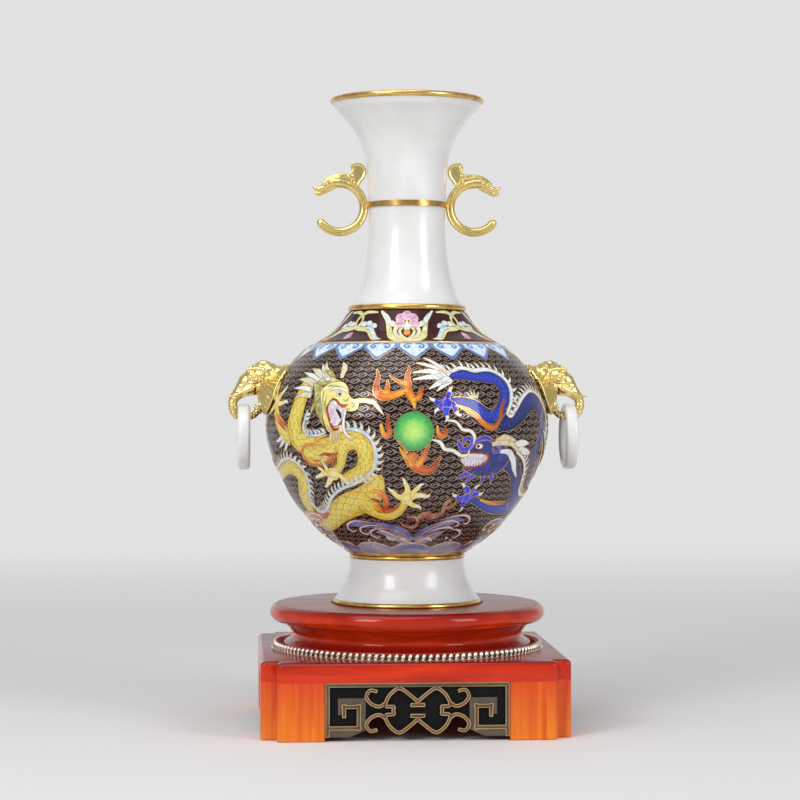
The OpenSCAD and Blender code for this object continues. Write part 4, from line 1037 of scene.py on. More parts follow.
for side in (0, 90, 180, 270):
    for colour, layer, points, widths in (
            (0, 3, [(-1, 18), (-5, 24), (-10, 28), (-16, 30.8), (-22, 32.2), (-28, 32), (-35, 32.6),
                    (-40, 30.6)], [6, 9, 8, 6, 5, 4.6, 4, 1]),
            (1, 4, [(-3, 16), (-8, 20), (-14, 23.6), (-19, 26.4), (-23, 26)], [6, 8, 6, 4, 1]),
            (0, 3, [(1, 18), (6, 25), (12, 29.4), (18, 33.6), (24, 36), (29, 35.6)], [6, 9, 8, 7, 5, 1]),
            (1, 4, [(3, 16), (8, 20), (14, 24), (19, 27)], [6, 8, 6, 1]),
            (2, 5, [(-24, 34.4), (-33, 35.4), (-39.4, 32.6), (-41, 28.6), (-38.6, 26.2), (-36, 27.4)],
             [0.5, 1.3, 1.7, 1.8, 1.5, 0.6]),
            (2, 5, [(-17, 31.6), (-26, 32), (-32, 29.6), (-32.8, 26), (-29.6, 24.4), (-27.4, 26)],
             [0.5, 1.3, 1.7, 1.8, 1.5, 0.6]),
            (2, 5, [(-11, 28.6), (-20, 29.6), (-25.8, 27.4), (-26.6, 23.6), (-23.6, 21.2), (-21.2, 23)],
             [0.5, 1.3, 1.7, 1.8, 1.5, 0.6]),
            (2, 5, [(-4, 21), (-12, 23.6), (-17, 26.6), (-20.4, 28.4), (-21, 31)], [0.5, 1.4, 2, 2, 0.6]),
            (2, 6, [(-17, 26), (-16.4, 21.6), (-13.4, 19.6), (-11, 21.4)], [0.6, 2.4, 2.4, 0.8]),
            (2, 5, [(14, 36.4), (22, 39.4), (29, 39.4), (32.4, 36), (31.2, 33), (29, 33.6)],
             [0.5, 1.3, 1.7, 1.8, 1.5, 0.6]),
            (2, 5, [(10, 32), (18, 35.4), (24, 35), (26.4, 32.4), (24, 30.4)], [0.5, 1.3, 1.6, 1.6, 0.6]),
            (2, 5, [(8, 26.4), (16, 29.8), (22, 30), (25.4, 27)], [0.5, 1.6, 2, 0.6]),
            (2, 5, [(24, 28.4), (29, 27.4), (31, 24), (29, 21), (26.2, 21.8)], [0.6, 2.2, 2.2, 1.8, 0.6]),
            (2, 6, [(3, 17), (7, 20.6), (11, 20.4), (13, 17.4)], [0.6, 2.4, 2.2, 0.8]),
            (2, 6, [(-2, 20), (-7, 25.4), (-13, 29), (-19, 30.4), (-25, 30.2)], [0.4, 0.9, 1, 0.9, 0.4]),
            (2, 6, [(2, 20), (7, 27), (13, 31.6), (19, 34.4), (24, 34)], [0.4, 0.9, 1, 0.9, 0.4]),
            (2, 6, [(4, 18), (9, 22.6), (15, 26), (20, 27.4)], [0.4, 0.9, 0.9, 0.4]),
            (2, 6, [(-3, 17), (-6, 20), (-9, 19.6)], [0.6, 2.2, 0.8])):
        strand(waves, points, widths, layer, colour, side=side)
    for a, s in ((-31, 18), (-27, 16.4), (-29.6, 13.4), (-33.4, 15), (23, 20.4), (27.4, 18), (24, 15.8),
                 (28.4, 15)):
        tile(waves, round_cell(a, s, 1.0, 0.9), 3, 2, side=side, edge=False, steps=2)
for side in sides:
    for points, widths in (([(-8, 35), (-4.6, 31.6), (0, 31), (1.8, 35), (0, 39), (-4, 38.4)],
                            [0.8, 2.2, 2.6, 2.6, 2.2, 0.8]),
                           ([(1, 38), (5, 40.5), (10, 39.5), (14, 42), (14.6, 48), (17, 52)],
                            [2.6, 5, 4.4, 3.4, 3, 2.2]),
                           ([(14.4, 45.6), (18.6, 47), (20, 51)], [2.2, 2.4, 0.8])):
        strand(waves, points, widths, 4, 3, side=side)
enamel_piece("foot_waves", waves, wave_blue, wave_lilac, foam, cloud_brown, gilt)

enamel_piece("cell_wires", wires, gilt)

# ---- Stand: legs and rails ------------------------------------------------
# Solid hardwood stained red and lacquered: four corner posts with a stepped outer
# corner, and four rails mitred over them. Outer edges are rounded over by hand.

lacquer_grain = bpy.data.node_groups.new("lacquered_grain", "ShaderNodeTree")
lacquer_grain.interface.new_socket("Along Grain", in_out="INPUT", socket_type="NodeSocketVector")
for socket in ("Deep", "Pale", "Top Shade", "Paler Foot"):
    lacquer_grain.interface.new_socket(socket, in_out="INPUT", socket_type="NodeSocketColor")
lacquer_grain.interface.new_socket("Colour", in_out="OUTPUT", socket_type="NodeSocketColor")
for socket in ("Roughness", "Height", "Polish"):
    lacquer_grain.interface.new_socket(socket, in_out="OUTPUT", socket_type="NodeSocketFloat")
t = lacquer_grain
group_in = t.nodes.new("NodeGroupInput")
group_out = t.nodes.new("NodeGroupOutput")
figure = noise_node(t, 1.0, 3, 1.2)
pores = noise_node(t, 6.0, 5)
for texture in (figure, pores):
    link(t, group_in.outputs["Along Grain"], texture.inputs["Vector"])
figure_mask = math_node(t, "MULTIPLY", math_node(t, "SUBTRACT", figure.outputs["Fac"], 0.32), 2.6,
                        clamp=True)
pore_mask = math_node(t, "MULTIPLY", math_node(t, "SUBTRACT", pores.outputs["Fac"], 0.52), 3.2, clamp=True)
wood = mix_node(t, figure_mask, group_in.outputs["Deep"], group_in.outputs["Pale"])
wood = mix_node(t, math_node(t, "MULTIPLY", pore_mask, 0.55), wood, group_in.outputs["Deep"])
facing = t.nodes.new("ShaderNodeTexCoord")
facing_split = t.nodes.new("ShaderNodeSeparateXYZ")
link(t, facing.outputs["Normal"], facing_split.inputs["Vector"])
# Faces that look up are darkened towards the top colour: painted shade on the tops.
top_shade_mask = math_node(t, "MULTIPLY", math_node(t, "SUBTRACT", facing_split.outputs["Z"], 0.12), 1.3,
                     clamp=True)
wood = mix_node(t, math_node(t, "MULTIPLY", top_shade_mask, 0.96), wood, group_in.outputs["Top Shade"])
height_split = t.nodes.new("ShaderNodeSeparateXYZ")
link(t, facing.outputs["Object"], height_split.inputs["Vector"])
# Low down, each piece turns a paler orange in patches towards its foot.
leg_top = 33.9 * mm
low_down = math_node(t, "MULTIPLY", math_node(t, "SUBTRACT", leg_top, height_split.outputs["Z"]),
                     1 / (34 * mm), clamp=True)
low_patch = math_node(t, "ADD", math_node(t, "MULTIPLY", figure_mask, 0.75), 0.3)
paler_low_mask = math_node(t, "MULTIPLY", low_down, low_patch, clamp=True)
wood = mix_node(t, paler_low_mask, wood, group_in.outputs["Paler Foot"])
link(t, wood, group_out.inputs["Colour"])
level_top = math_node(t, "MULTIPLY", math_node(t, "SUBTRACT", facing_split.outputs["Z"], 0.88), 9,
                      clamp=True)
link(t, math_node(t, "SUBTRACT", 0.5, math_node(t, "MULTIPLY", level_top, 0.48)),
     group_out.inputs["Polish"])
link(t, math_node(t, "ADD", math_node(t, "MULTIPLY", figure.outputs["Fac"], 0.16), 0.14),
     group_out.inputs["Roughness"])
link(t, pores.outputs["Fac"], group_out.inputs["Height"])


def lacquered(name, deep, pale, top, grain):
    """Stained and lacquered wood, with top painted onto upward faces as painted shade; grain gives the
    pattern's scale along X, Y and Z.
    """
    material, tree, shader = plain_material(name, pale, 0.22)
    shader.inputs["Coat Roughness"].default_value = 0.09
    shader.inputs["Specular IOR Level"].default_value = 0.1
    where = tree.nodes.new("ShaderNodeTexCoord")
    stretch = tree.nodes.new("ShaderNodeMapping")
    stretch.inputs["Scale"].default_value = grain
    group = tree.nodes.new("ShaderNodeGroup")
    group.node_tree = lacquer_grain
    group.inputs["Deep"].default_value = (*deep, 1)
    group.inputs["Pale"].default_value = (*pale, 1)
    group.inputs["Top Shade"].default_value = (*top, 1)
    group.inputs["Paler Foot"].default_value = (0.95, 0.30, 0.015, 1)
    bump = tree.nodes.new("ShaderNodeBump")
    bump.inputs["Strength"].default_value = 0.08
    bump.inputs["Distance"].default_value = 0.0003
    link(tree, where.outputs["Object"], stretch.inputs["Vector"])
    link(tree, stretch.outputs["Vector"], group.inputs["Along Grain"])
    link(tree, group.outputs["Colour"], shader.inputs["Base Color"])
    link(tree, group.outputs["Roughness"], shader.inputs["Roughness"])
    link(tree, group.outputs["Polish"], shader.inputs["Coat Weight"])
    link(tree, group.outputs["Height"], bump.inputs["Height"])
    link(tree, bump.outputs["Normal"], shader.inputs["Normal"])
    return material


# The deep red that the tops of the posts, rails, plinth and board turn to is painted shade.
top_shade_red = (0.20, 0.003, 0.002)
post_wood = lacquered("post_wood", (0.66, 0.040, 0.004), (0.88, 0.115, 0.007), (0.30, 0.012, 0.004),
                      (150, 150, 9))
rail_deep, rail_pale = (0.46, 0.014, 0.002), (0.78, 0.042, 0.003)
rail_wood = (lacquered("rail_wood_long", rail_deep, rail_pale, top_shade_red, (9, 80, 80)),
             lacquered("rail_wood_side", rail_deep, rail_pale, top_shade_red, (80, 9, 80)))


def merged_copy(node):
    """A copy of a CAD node with its triangles joined into flat faces."""
    bm = bmesh.new()
    bm.from_mesh(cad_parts[node].data)
    bmesh.ops.remove_doubles(bm, verts=bm.verts, dist=0.003 * mm)
    bmesh.ops.dissolve_limit(bm, angle_limit=radians(0.6), verts=bm.verts, edges=bm.edges)
    return bm


def reach(p):
    """Distance of a point from the stand's middle, square to its sides."""
    return max(abs(p.x), abs(p.y))


base_half = -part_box("leg_front_left")[0].x
leg_easing = 1.1 * mm
for node in ("leg_front_left", "leg_front_right", "leg_back_left", "leg_back_right"):
    bm = merged_copy(node)
    eased = []
    for e in bm.edges:
        a, b = e.verts[0].co, e.verts[1].co
        if not e.is_manifold or e.calc_face_angle() < 0.5 or reach(a) < base_half - 12 * mm:
            continue
        upright = abs((a - b).z) > 25 * mm and reach(a) > base_half - 0.1 * mm
        on_foot = max(a.z, b.z) < 0.05 * mm and reach((a + b) / 2) > base_half - 9.5 * mm
        if upright or on_foot:
            eased.append(e)
    bmesh.ops.bevel(bm, geom=eased, offset=leg_easing, segments=4, profile=0.5, affect="EDGES", material=-1)
    piece = add_object(node + "_rounded", bm, post_wood, sharp=35)
    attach(piece, "stand")
    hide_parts(node)

rail_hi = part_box("rail_front")[1]
rail_rounding = 2.9 * mm
for turned_side, node in enumerate(("rail_front", "rail_right", "rail_back", "rail_left")):
    bm = merged_copy(node)
    rounded = []
    for e in bm.edges:
        a, b = e.verts[0].co, e.verts[1].co
        if not e.is_manifold or e.calc_face_angle() < 0.5:
            continue
        on_top = min(a.z, b.z) > rail_hi.z - 0.05 * mm and reach((a + b) / 2) > rail_hi.x - 0.1 * mm
        on_corner = abs((a - b).z) > 0.99 * e.calc_length() and reach(a) > base_half - 0.1 * mm
        if on_top or on_corner:
            rounded.append(e)
    bmesh.ops.bevel(bm, geom=rounded, offset=rail_rounding, segments=6, profile=0.5, affect="EDGES",
                    material=-1)
    piece = add_object(node + "_rounded", bm, rail_wood[turned_side % 2], sharp=35)
    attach(piece, "stand")
    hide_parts(node)

# The board closes the top under the plinth. It and the dowels are hidden, and left plainer.
deck_wood = lacquered("deck_wood", (0.25, 0.012, 0.004), (0.42, 0.022, 0.006), (0.13, 0.003, 0.002),
                      (9, 80, 80))
dowel_wood = lacquered("dowel_wood", (0.36, 0.20, 0.08), (0.62, 0.42, 0.22), (0.50, 0.32, 0.15),
                       (90, 90, 14))

# ---- Plinth ---------------------------------------------------------------
# A turned disc of the same wood with a hollow waist. It sits on the bearing and
# carries the vase.

plinth_wood = lacquered("plinth_wood", (0.48, 0.018, 0.002), (0.80, 0.050, 0.003), (0.20, 0.003, 0.002),
                        (9, 60, 110))
piece = add_object("plinth_turned", turned("plinth", steps=160), plinth_wood, sharp=edge_angle)
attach(piece, "turntable")
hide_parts("plinth")

# ---- Fretwork panels ------------------------------------------------------
# Cast brass panels, blackened and rubbed back. Each raised line's two bright edges and dark sunk middle are
# painted highlight and painted shade, over the real blackened ground. A black plate stands behind each of
# them.

fret_brass, fret_tree, fret_shader = plain_material("rubbed_brass_and_painted_light", (0.4, 0.25, 0.12), 0.4, 1.0)
t = fret_tree
fret_where = t.nodes.new("ShaderNodeTexCoord")
fret_split = t.nodes.new("ShaderNodeSeparateXYZ")
link(t, fret_where.outputs["Object"], fret_split.inputs["Vector"])
fret_out = math_node(t, "MAXIMUM", math_node(t, "ABSOLUTE", fret_split.outputs["X"]),
                     math_node(t, "ABSOLUTE", fret_split.outputs["Y"]))
fret_face = -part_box("fret_front")[0].y
# Faces at the front take the bright tone and deeper ones the dark: painted highlight on the lines' edges,
# painted shade in their sunk middles, real blackening in the ground.
proud_highlight_mask = math_node(t, "MULTIPLY", math_node(t, "SUBTRACT", fret_out, fret_face - 0.28 * mm), 1 / (0.2 * mm),
                   clamp=True)
fret_stipple = noise_node(t, 900, 3)
fret_cloud = noise_node(t, 120, 3)
for texture in (fret_stipple, fret_cloud):
    link(t, fret_where.outputs["Object"], texture.inputs["Vector"])
blackened_and_shade_tone = mix_node(t, fret_cloud.outputs["Fac"], (0.10, 0.09, 0.08), (0.26, 0.20, 0.15))
rubbed_highlight_tone = mix_node(t, fret_cloud.outputs["Fac"], (0.72, 0.38, 0.13), (1.0, 0.70, 0.34))
link(t, mix_node(t, proud_highlight_mask, blackened_and_shade_tone, rubbed_highlight_tone), fret_shader.inputs["Base Color"])
link(t, math_node(t, "SUBTRACT", 0.52, math_node(t, "MULTIPLY", proud_highlight_mask, 0.24)),
     fret_shader.inputs["Roughness"])
fret_bump = t.nodes.new("ShaderNodeBump")
fret_bump.inputs["Strength"].default_value = 0.35
fret_bump.inputs["Distance"].default_value = 0.0002
link(t, fret_stipple.outputs["Fac"], fret_bump.inputs["Height"])
link(t, fret_bump.outputs["Normal"], fret_shader.inputs["Normal"])

# Each line's top is eased at its edges and sunk in its middle, so that the depth mask paints highlight on
# the edges and shade in the middle.
line_ease = 0.12 * mm
line_sunk = 0.4 * mm
for node in ("fret_front", "fret_right", "fret_back", "fret_left"):
    bm = bmesh.new()
    bm.from_mesh(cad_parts[node].data)
    bmesh.ops.remove_doubles(bm, verts=bm.verts, dist=0.003 * mm)
    bm.normal_update()
    middle = sum(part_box(node), Vector()) / 2
    outward = Vector((round(middle.x / fret_face), round(middle.y / fret_face), 0))
    faces = [f for f in bm.faces if f.normal.dot(outward) > 0.99
             and reach(f.calc_center_median()) > fret_face - 0.02 * mm]
    bmesh.ops.inset_region(bm, faces=faces, thickness=line_ease, depth=line_ease, use_even_offset=False,
                           use_boundary=True)
    for v in {v for f in faces for v in f.verts}:
        v.co -= outward * line_ease
    for f in bm.faces:
        f.normal_update()
    for inset in (0.34, 0.16):
        bmesh.ops.inset_region(bm, faces=faces, thickness=inset * mm, depth=0, use_even_offset=False,
                               use_boundary=True)
    for v in {v for f in faces for v in f.verts}:
        v.co -= outward * line_sunk
    piece = add_object(node + "_rubbed_and_lit", bm, fret_brass, smooth=False)
    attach(piece, "stand")
    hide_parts(node)


def speckled(name, dark, light, rough_low, rough_high, metallic, scale=300):
    """A finish with a fine cloud in its colour and its polish."""
    material, tree, shader = plain_material(name, dark, rough_low, metallic)
    where = tree.nodes.new("ShaderNodeTexCoord")
    cloud = noise_node(tree, scale, 5)
    matt = math_node(tree, "MULTIPLY", cloud.outputs["Fac"], rough_high - rough_low)
    link(tree, where.outputs["Object"], cloud.inputs["Vector"])
    link(tree, mix_node(tree, cloud.outputs["Fac"], dark, light), shader.inputs["Base Color"])
    link(tree, math_node(tree, "ADD", matt, rough_low), shader.inputs["Roughness"])
    bump = tree.nodes.new("ShaderNodeBump")
    bump.inputs["Strength"].default_value = 0.12
    bump.inputs["Distance"].default_value = 0.0002
    link(tree, cloud.outputs["Fac"], bump.inputs["Height"])
    link(tree, bump.outputs["Normal"], shader.inputs["Normal"])
    return material


black_plate = speckled("black_plate", (0.003, 0.003, 0.004), (0.010, 0.010, 0.011), 0.45, 0.7, 0.0, 500)
black_plate.node_tree.nodes["Principled BSDF"].inputs["Specular IOR Level"].default_value = 0.15

# ---- Rope moulding --------------------------------------------------------
# A cast rope of tall slanting beads stands on a thin strip in the top of the stand,
# round the plinth. It is nailed down and never turns.

rope_lo, rope_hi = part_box("bead_ring")
rope_r = rope_hi.x - 2.9 * mm
rope_gilt = speckled("rope_gilt", (0.84, 0.74, 0.58), (1.0, 0.96, 0.86), 0.22, 0.38, 1.0, 350)
# The core that shows between the beads is dark brown: painted shade in the gaps.
rope_gap_shade = speckled("rope_gap_shade", (0.03, 0.012, 0.006), (0.10, 0.04, 0.02), 0.35, 0.5, 0.6, 350)
rope_core = [(-1.3, 0.0), (-1.3, 2.2), (-0.6, 3.0), (0.6, 3.0), (1.3, 2.2), (1.3, 0.0)]
rope_strip = [(-2.6, 0.0), (-2.6, 0.3), (2.3, 0.3), (2.6, 0.2), (2.6, 0.0)]
bm = bmesh.new()
for tone, outline in ((1, rope_core), (0, rope_strip)):
    band = bmesh.new()
    verts = [band.verts.new((0, -rope_r - out * mm, rope_lo.z + up * mm)) for out, up in outline]
    edges = [band.edges.new((verts[i - 1], verts[i])) for i in range(len(verts))]
    bmesh.ops.spin(band, geom=verts + edges, cent=(0, 0, 0), axis=(0, 0, 1), angle=2 * pi, steps=120,
                   use_merge=True)
    bmesh.ops.recalc_face_normals(band, faces=band.faces)
    for f in band.faces:
        f.material_index = tone
    join(bm, band)
bead_count = 128
bead_half = (1.42, 2.2, 2.4)
for n in range(bead_count):
    bead = bmesh.new()
    bmesh.ops.create_uvsphere(bead, u_segments=10, v_segments=8, radius=1 * mm)
    bmesh.ops.scale(bead, vec=bead_half, verts=bead.verts)
    for turn, axis in ((radians(20), "Y"), (radians(12), "Z")):
        bmesh.ops.rotate(bead, cent=(0, 0, 0), matrix=Matrix.Rotation(turn, 3, axis), verts=bead.verts)
    bmesh.ops.translate(bead, vec=(0, -rope_r, rope_lo.z + 2.0 * mm), verts=bead.verts)
    round_stand = Matrix.Rotation(2 * pi * n / bead_count, 3, "Z")
    bmesh.ops.rotate(bead, cent=(0, 0, 0), matrix=round_stand, verts=bead.verts)
    join(bm, bead)
piece = add_object("rope_moulding", bm, rope_gilt, rope_gap_shade, sharp=60)
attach(piece, "stand")
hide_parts("bead_ring")

# ---- Elephant heads -------------------------------------------------------
# Cast and gilded heads bolted through the wall. The trunk is ribbed in front, hooks
# under for the loose ring and ends in three lobes; ears are pleated like shells.

cast_gilt = speckled("cast_gilt", (0.80, 0.56, 0.14), (1.0, 0.84, 0.40), 0.2, 0.34, 1.0, 160)
cast_gilt.node_tree.nodes["Bump"].inputs["Strength"].default_value = 0.04
head_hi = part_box("elephant_head_right")[1]
head_place = Vector((81.9, 0, 203.0)) * mm


def waxed(bm, points, spacing=0.5):
    """A rounded stick of wax through points of (out, side, up, radius) in mm."""
    stick = bmesh.new()
    for a, b in zip(points, points[1:] or points):
        gap = hypot(a[0] - b[0], a[1] - b[1], a[2] - b[2])
        count = max(1, int(gap / (spacing * max(min(a[3], b[3]), 0.4))))
        for i in range(count + 1):
            at = [a[k] + (b[k] - a[k]) * i / count for k in range(4)]
            ball = bmesh.ops.create_icosphere(stick, subdivisions=2, radius=at[3] * mm)["verts"]
            bmesh.ops.translate(stick, vec=Vector(at[:3]) * mm, verts=ball)
    join(bm, stick)


def cast(name, bm, voxel, smoothing):
    """Melts overlapping forms into one skin, and smooths it."""
    rough = add_object(name + "_wax", bm, gilt)
    melt = rough.modifiers.new("melt", "REMESH")
    melt.mode = "VOXEL"
    melt.voxel_size = voxel * mm
    skin = bpy.data.meshes.new_from_object(rough.evaluated_get(bpy.context.evaluated_depsgraph_get()))
    bpy.data.objects.remove(rough)
    out = bmesh.new()
    out.from_mesh(skin)
    bpy.data.meshes.remove(skin)
    for _ in range(smoothing):
        bmesh.ops.smooth_vert(out, verts=out.verts, factor=0.5, use_axis_x=True, use_axis_y=True,
                              use_axis_z=True)
    return out


def carve(bm, depth_at):
    """Moves every vertex along its normal by the mm that depth_at gives."""
    bm.normal_update()
    moves = [(v, v.normal * depth_at(v.co / mm) * mm) for v in bm.verts]
    for v, move in moves:
        v.co += move


def both_sides(mesh_in, place, right, left, material):
    """Moves a cast piece to the right side, and mirrors it for the left."""
    bmesh.ops.translate(mesh_in, vec=place, verts=mesh_in.verts)
    for node in (right, left):
        bm = mesh_in.copy()
        if node == left:
            bmesh.ops.scale(bm, vec=(-1, 1, 1), verts=bm.verts)
            bmesh.ops.reverse_faces(bm, faces=bm.faces)
        piece = add_object(node + "_cast", bm, material)
        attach(piece, "vase")
        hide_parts(node)
    mesh_in.free()


trunk_line = smooth_line([(17.5, 9), (20, 5), (22.2, 0.5), (24, -4), (24.6, -8), (24.2, -12), (22.8, -16),
                          (19.5, -17), (15, -17), (11, -15.6), (8.8, -12.4)], 8)
trunk_run = [0.0]
for a, b in zip(trunk_line, trunk_line[1:]):
    trunk_run.append(trunk_run[-1] + (b - a).length)
trunk_tree = KDTree(len(trunk_line))
for i, p in enumerate(trunk_line):
    trunk_tree.insert((p.x, p.y, 0), i)
trunk_tree.balance()
rib_pitch = 2.2
rib_depth = 0.34


def head_relief(p):
    """Ribs of the trunk and faint waves all over, in mm of wax added or cut away."""
    depth = 0.08 * noise.noise(p * 0.5) + 0.03 * noise.noise(p * 1.4)
    _, near, gap = trunk_tree.find((p.x, p.z, 0))
    if 0 < near < len(trunk_line) - 1 and gap < 5 and abs(p.y) < 4.5:
        ahead = (trunk_line[near + 1] - trunk_line[near - 1]).normalized()
        off = Vector((p.x, p.z)) - trunk_line[near]
        run = trunk_run[near] + off.dot(ahead)
        outer = off.dot(Vector((-ahead.y, ahead.x)))
        on_front = min(max((outer + 1.6) / 1.6, 0), 1)
        wanted = on_front * min(max((run - 2) / 3, 0), 1) * min(max((52 - run) / 4, 0), 1)
        if run > 18:
            wanted = max(wanted, 0.7) * min(max((44 - run) / 4, 0.3), 1)
        depth += wanted * rib_depth * (abs(sin(pi * run / rib_pitch)) - 0.6)
    return depth


ear_rim = [(5.0, 13.0, 2.6, 0.8), (10, 14.4, 2.0, 2.2), (15.5, 13.6, 1.8, 3.0), (19.8, 10.6, 1.7, 3.0),
           (22.4, 6.0, 1.6, 2.4), (23, 0.8, 1.6, 1.0), (23.6, -4.6, 1.6, -0.6), (22, -9.6, 1.8, -1.2),
           (17.8, -13.6, 1.9, -1.4), (12.6, -15.2, 1.6, -1.0), (9.6, -12.8, 3.2, -0.6),
           (8.6, -8.6, 5.6, -0.2), (8.4, -4.4, 7.2, 0), (8.0, 0, 7.8, 0)]


def on_wall(side, up, above):
    """The place above the vase's wall, in mm from the head's own middle."""
    wall = on_profile(length_at(head_place.z + up * mm))[0]
    return Vector(((wall ** 2 - (side * mm) ** 2) ** 0.5 / mm - head_place.x / mm + above, side, up))


bm = bmesh.new()
waxed(bm, [(-3, 0, 6.4, 8.2), (3, 0, 8.2, 8.4), (7, 0, 8.6, 7.6), (12, 0, 6.6, 6.6), (16, 0, 4.4, 5.6),
           (18.2, 0, 1.4, 4.8), (20.2, 0, -1.8, 4.3), (23, 0, -4.8, 3.2)])
waxed(bm, [(-3, 0, 0, 7.6), (4, 0, 1.8, 7.0), (9, 0, 1.2, 5.4), (14, 0, 0.2, 4.5)])
waxed(bm, [(23.2, 0, -4.8, 3.2), (24.7, 0, -8.2, 3.0), (24.6, 0, -11.4, 2.95), (24.1, 0, -13.8, 2.7),
           (22.4, 0, -16.4, 2.4), (20.4, 0, -16.9, 2.3), (13.2, 0, -16.8, 2.2), (10.9, 0, -15.4, 2.1),
           (9.4, 0, -13.2, 2.0)])
waxed(bm, [(9.4, 0, 14.0, 2.1), (6.6, 0, 15.2, 2.4), (3.4, 0, 14.8, 2.3), (0, 0, 13.4, 2.0)])
for n in range(8):
    waxed(bm, [(13.8 - 1.0 * n, 0.9 * sin(2.1 * n), 13.2 + 0.5 * n - 0.04 * n * n,
                0.95 + 0.2 * sin(1.7 * n))])
for s in (-1, 1):
    for n in range(9):
        a = n / 8
        waxed(bm, [(15.6 - 9.6 * a, s * (3.6 + 3.4 * a), 11.6 + 3.0 * a * (1 - a) + 0.2 * sin(3 * n),
                    1.05)])
    for n in range(5):
        waxed(bm, [(5.6 + 0.12 * n * n, s * (7.4 + 0.1 * n), 11 - 1.35 * n, 0.95 - 0.06 * n)])
    waxed(bm, [(17.2, s * 3.9, 7.0, 0.5), (14.4, s * 5.4, 8.7, 0.6), (11, s * 6.5, 9.1, 0.65),
               (8.6, s * 7.1, 7.8, 0.55)])
    waxed(bm, [(16.2, s * 4.5, 5.6, 0.45), (13, s * 5.9, 5.2, 0.5), (10, s * 6.8, 5.6, 0.5)])
    waxed(bm, [(15.4, s * 4.9, 3.8, 0.45), (12.4, s * 5.9, 3.4, 0.45)])
    waxed(bm, [(11.9, s * 5.9, 7.1, 1.25)])
    waxed(bm, [(13, s * 3.4, 0.4, 3.0), (17, s * 3.2, -1.4, 2.5), (20, s * 2.8, -2.8, 1.9)])
    waxed(bm, [(12, s * 3.2, -3.4, 0.8), (15.6, s * 3.4, -3.7, 0.8), (19, s * 3.4, -4.4, 0.75)])
    waxed(bm, [(21.8, s * 3.2, -5.6, 0.7), (24, s * 2.8, -6.4, 0.7), (26.4, s * 1.2, -7.0, 0.6)])
    waxed(bm, [(18.4, s * 3.6, -2.8, 1.15), (21.6, s * 4.7, -3.7, 1.1), (24.6, s * 5.4, -4.6, 0.85),
               (26.9, s * 5.7, -4.9, 0.62), (28.6, s * 5.7, -4.7, 0.4)])
    waxed(bm, [(8.4, s * 1.3, -11.6, 1.35), (8.6, s * 1.9, -10.4, 0.9)])
    ear = bmesh.new()
    skins = []
    for i in range(3 * len(ear_rim) - 2):
        k = min(i // 3, len(ear_rim) - 2)
        share = (i - 3 * k) / 3
        side, up, lift, hollow = [p + (q - p) * share for p, q in zip(ear_rim[k], ear_rim[k + 1])]
        front, back = [], []
        for j in range(9):
            t = 0.06 + 0.94 * j / 8
            pleat = t * cos(pi * i)
            at_side, at_up = 7.4 + (side - 7.4) * t + 0.5 * pleat, 4.6 + (up - 4.6) * t
            above = 9.4 + (lift - 9.4) * t - hollow * sin(pi * t) + 0.7 * pleat
            front.append(ear.verts.new(on_wall(s * at_side, at_up, above) * mm))
            back.append(ear.verts.new(on_wall(s * at_side, at_up, max(above - 1.9, -0.8)) * mm))
        skins.append(front + back[::-1])
    for a, b in zip(skins, skins[1:]):
        for j in range(-1, len(a) - 1):
            ear.faces.new((a[j], a[j + 1], b[j + 1], b[j]))
    for end in (skins[0], skins[-1]):
        ear.faces.new(end)
    bmesh.ops.recalc_face_normals(ear, faces=ear.faces)
    join(bm, ear)
    waxed(bm, [(*on_wall(s * side, up, lift + 0.2), 0.9) for side, up, lift, hollow in ear_rim],
          spacing=0.8)
    waxed(bm, [(4.8, s * 7.6, 4.6, 1.6), (4.2, s * 8.2, 0, 1.2), (5.6, s * 8.6, -5, 1.1)])
waxed(bm, [(7.9, 0, -13.9, 1.5), (7.6, 0, -12, 1.2)])
waxed(bm, [(10.8, 0, -11.4, 1.15), (11.2, 0, -10.2, 0.8)])
head_wax = cast("elephant_head", bm, 0.34, 3)
carve(head_wax, head_relief)
bmesh.ops.smooth_vert(head_wax, verts=head_wax.verts, factor=0.3, use_axis_x=True, use_axis_y=True,
                      use_axis_z=True)
for v in head_wax.verts:
    place = v.co + head_place
    wall = on_profile(length_at(place.z))[0] - 0.15 * mm
    if hypot(place.x, place.y) < wall:
        v.co.x = (wall ** 2 - place.y ** 2) ** 0.5 - head_place.x
    v.co.x = min(v.co.x, head_hi.x - head_place.x)
stud_r = 1.5 * mm
stud = bmesh.ops.create_cone(head_wax, cap_ends=True, segments=24, radius1=stud_r, radius2=stud_r,
                             depth=11 * mm)["verts"]
bmesh.ops.translate(head_wax, vec=(0, 0, -4.2 * mm), verts=stud)
bmesh.ops.rotate(head_wax, cent=(0, 0, 0), matrix=Matrix.Rotation(radians(66), 3, "Y"), verts=stud)
both_sides(head_wax, head_place, "elephant_head_right", "elephant_head_left", cast_gilt)

# ---- Dragon handles -------------------------------------------------------
# Each curl is a cast band with a dragon's head and a swept-back mane. Its peg is
# soldered into the neck ring.

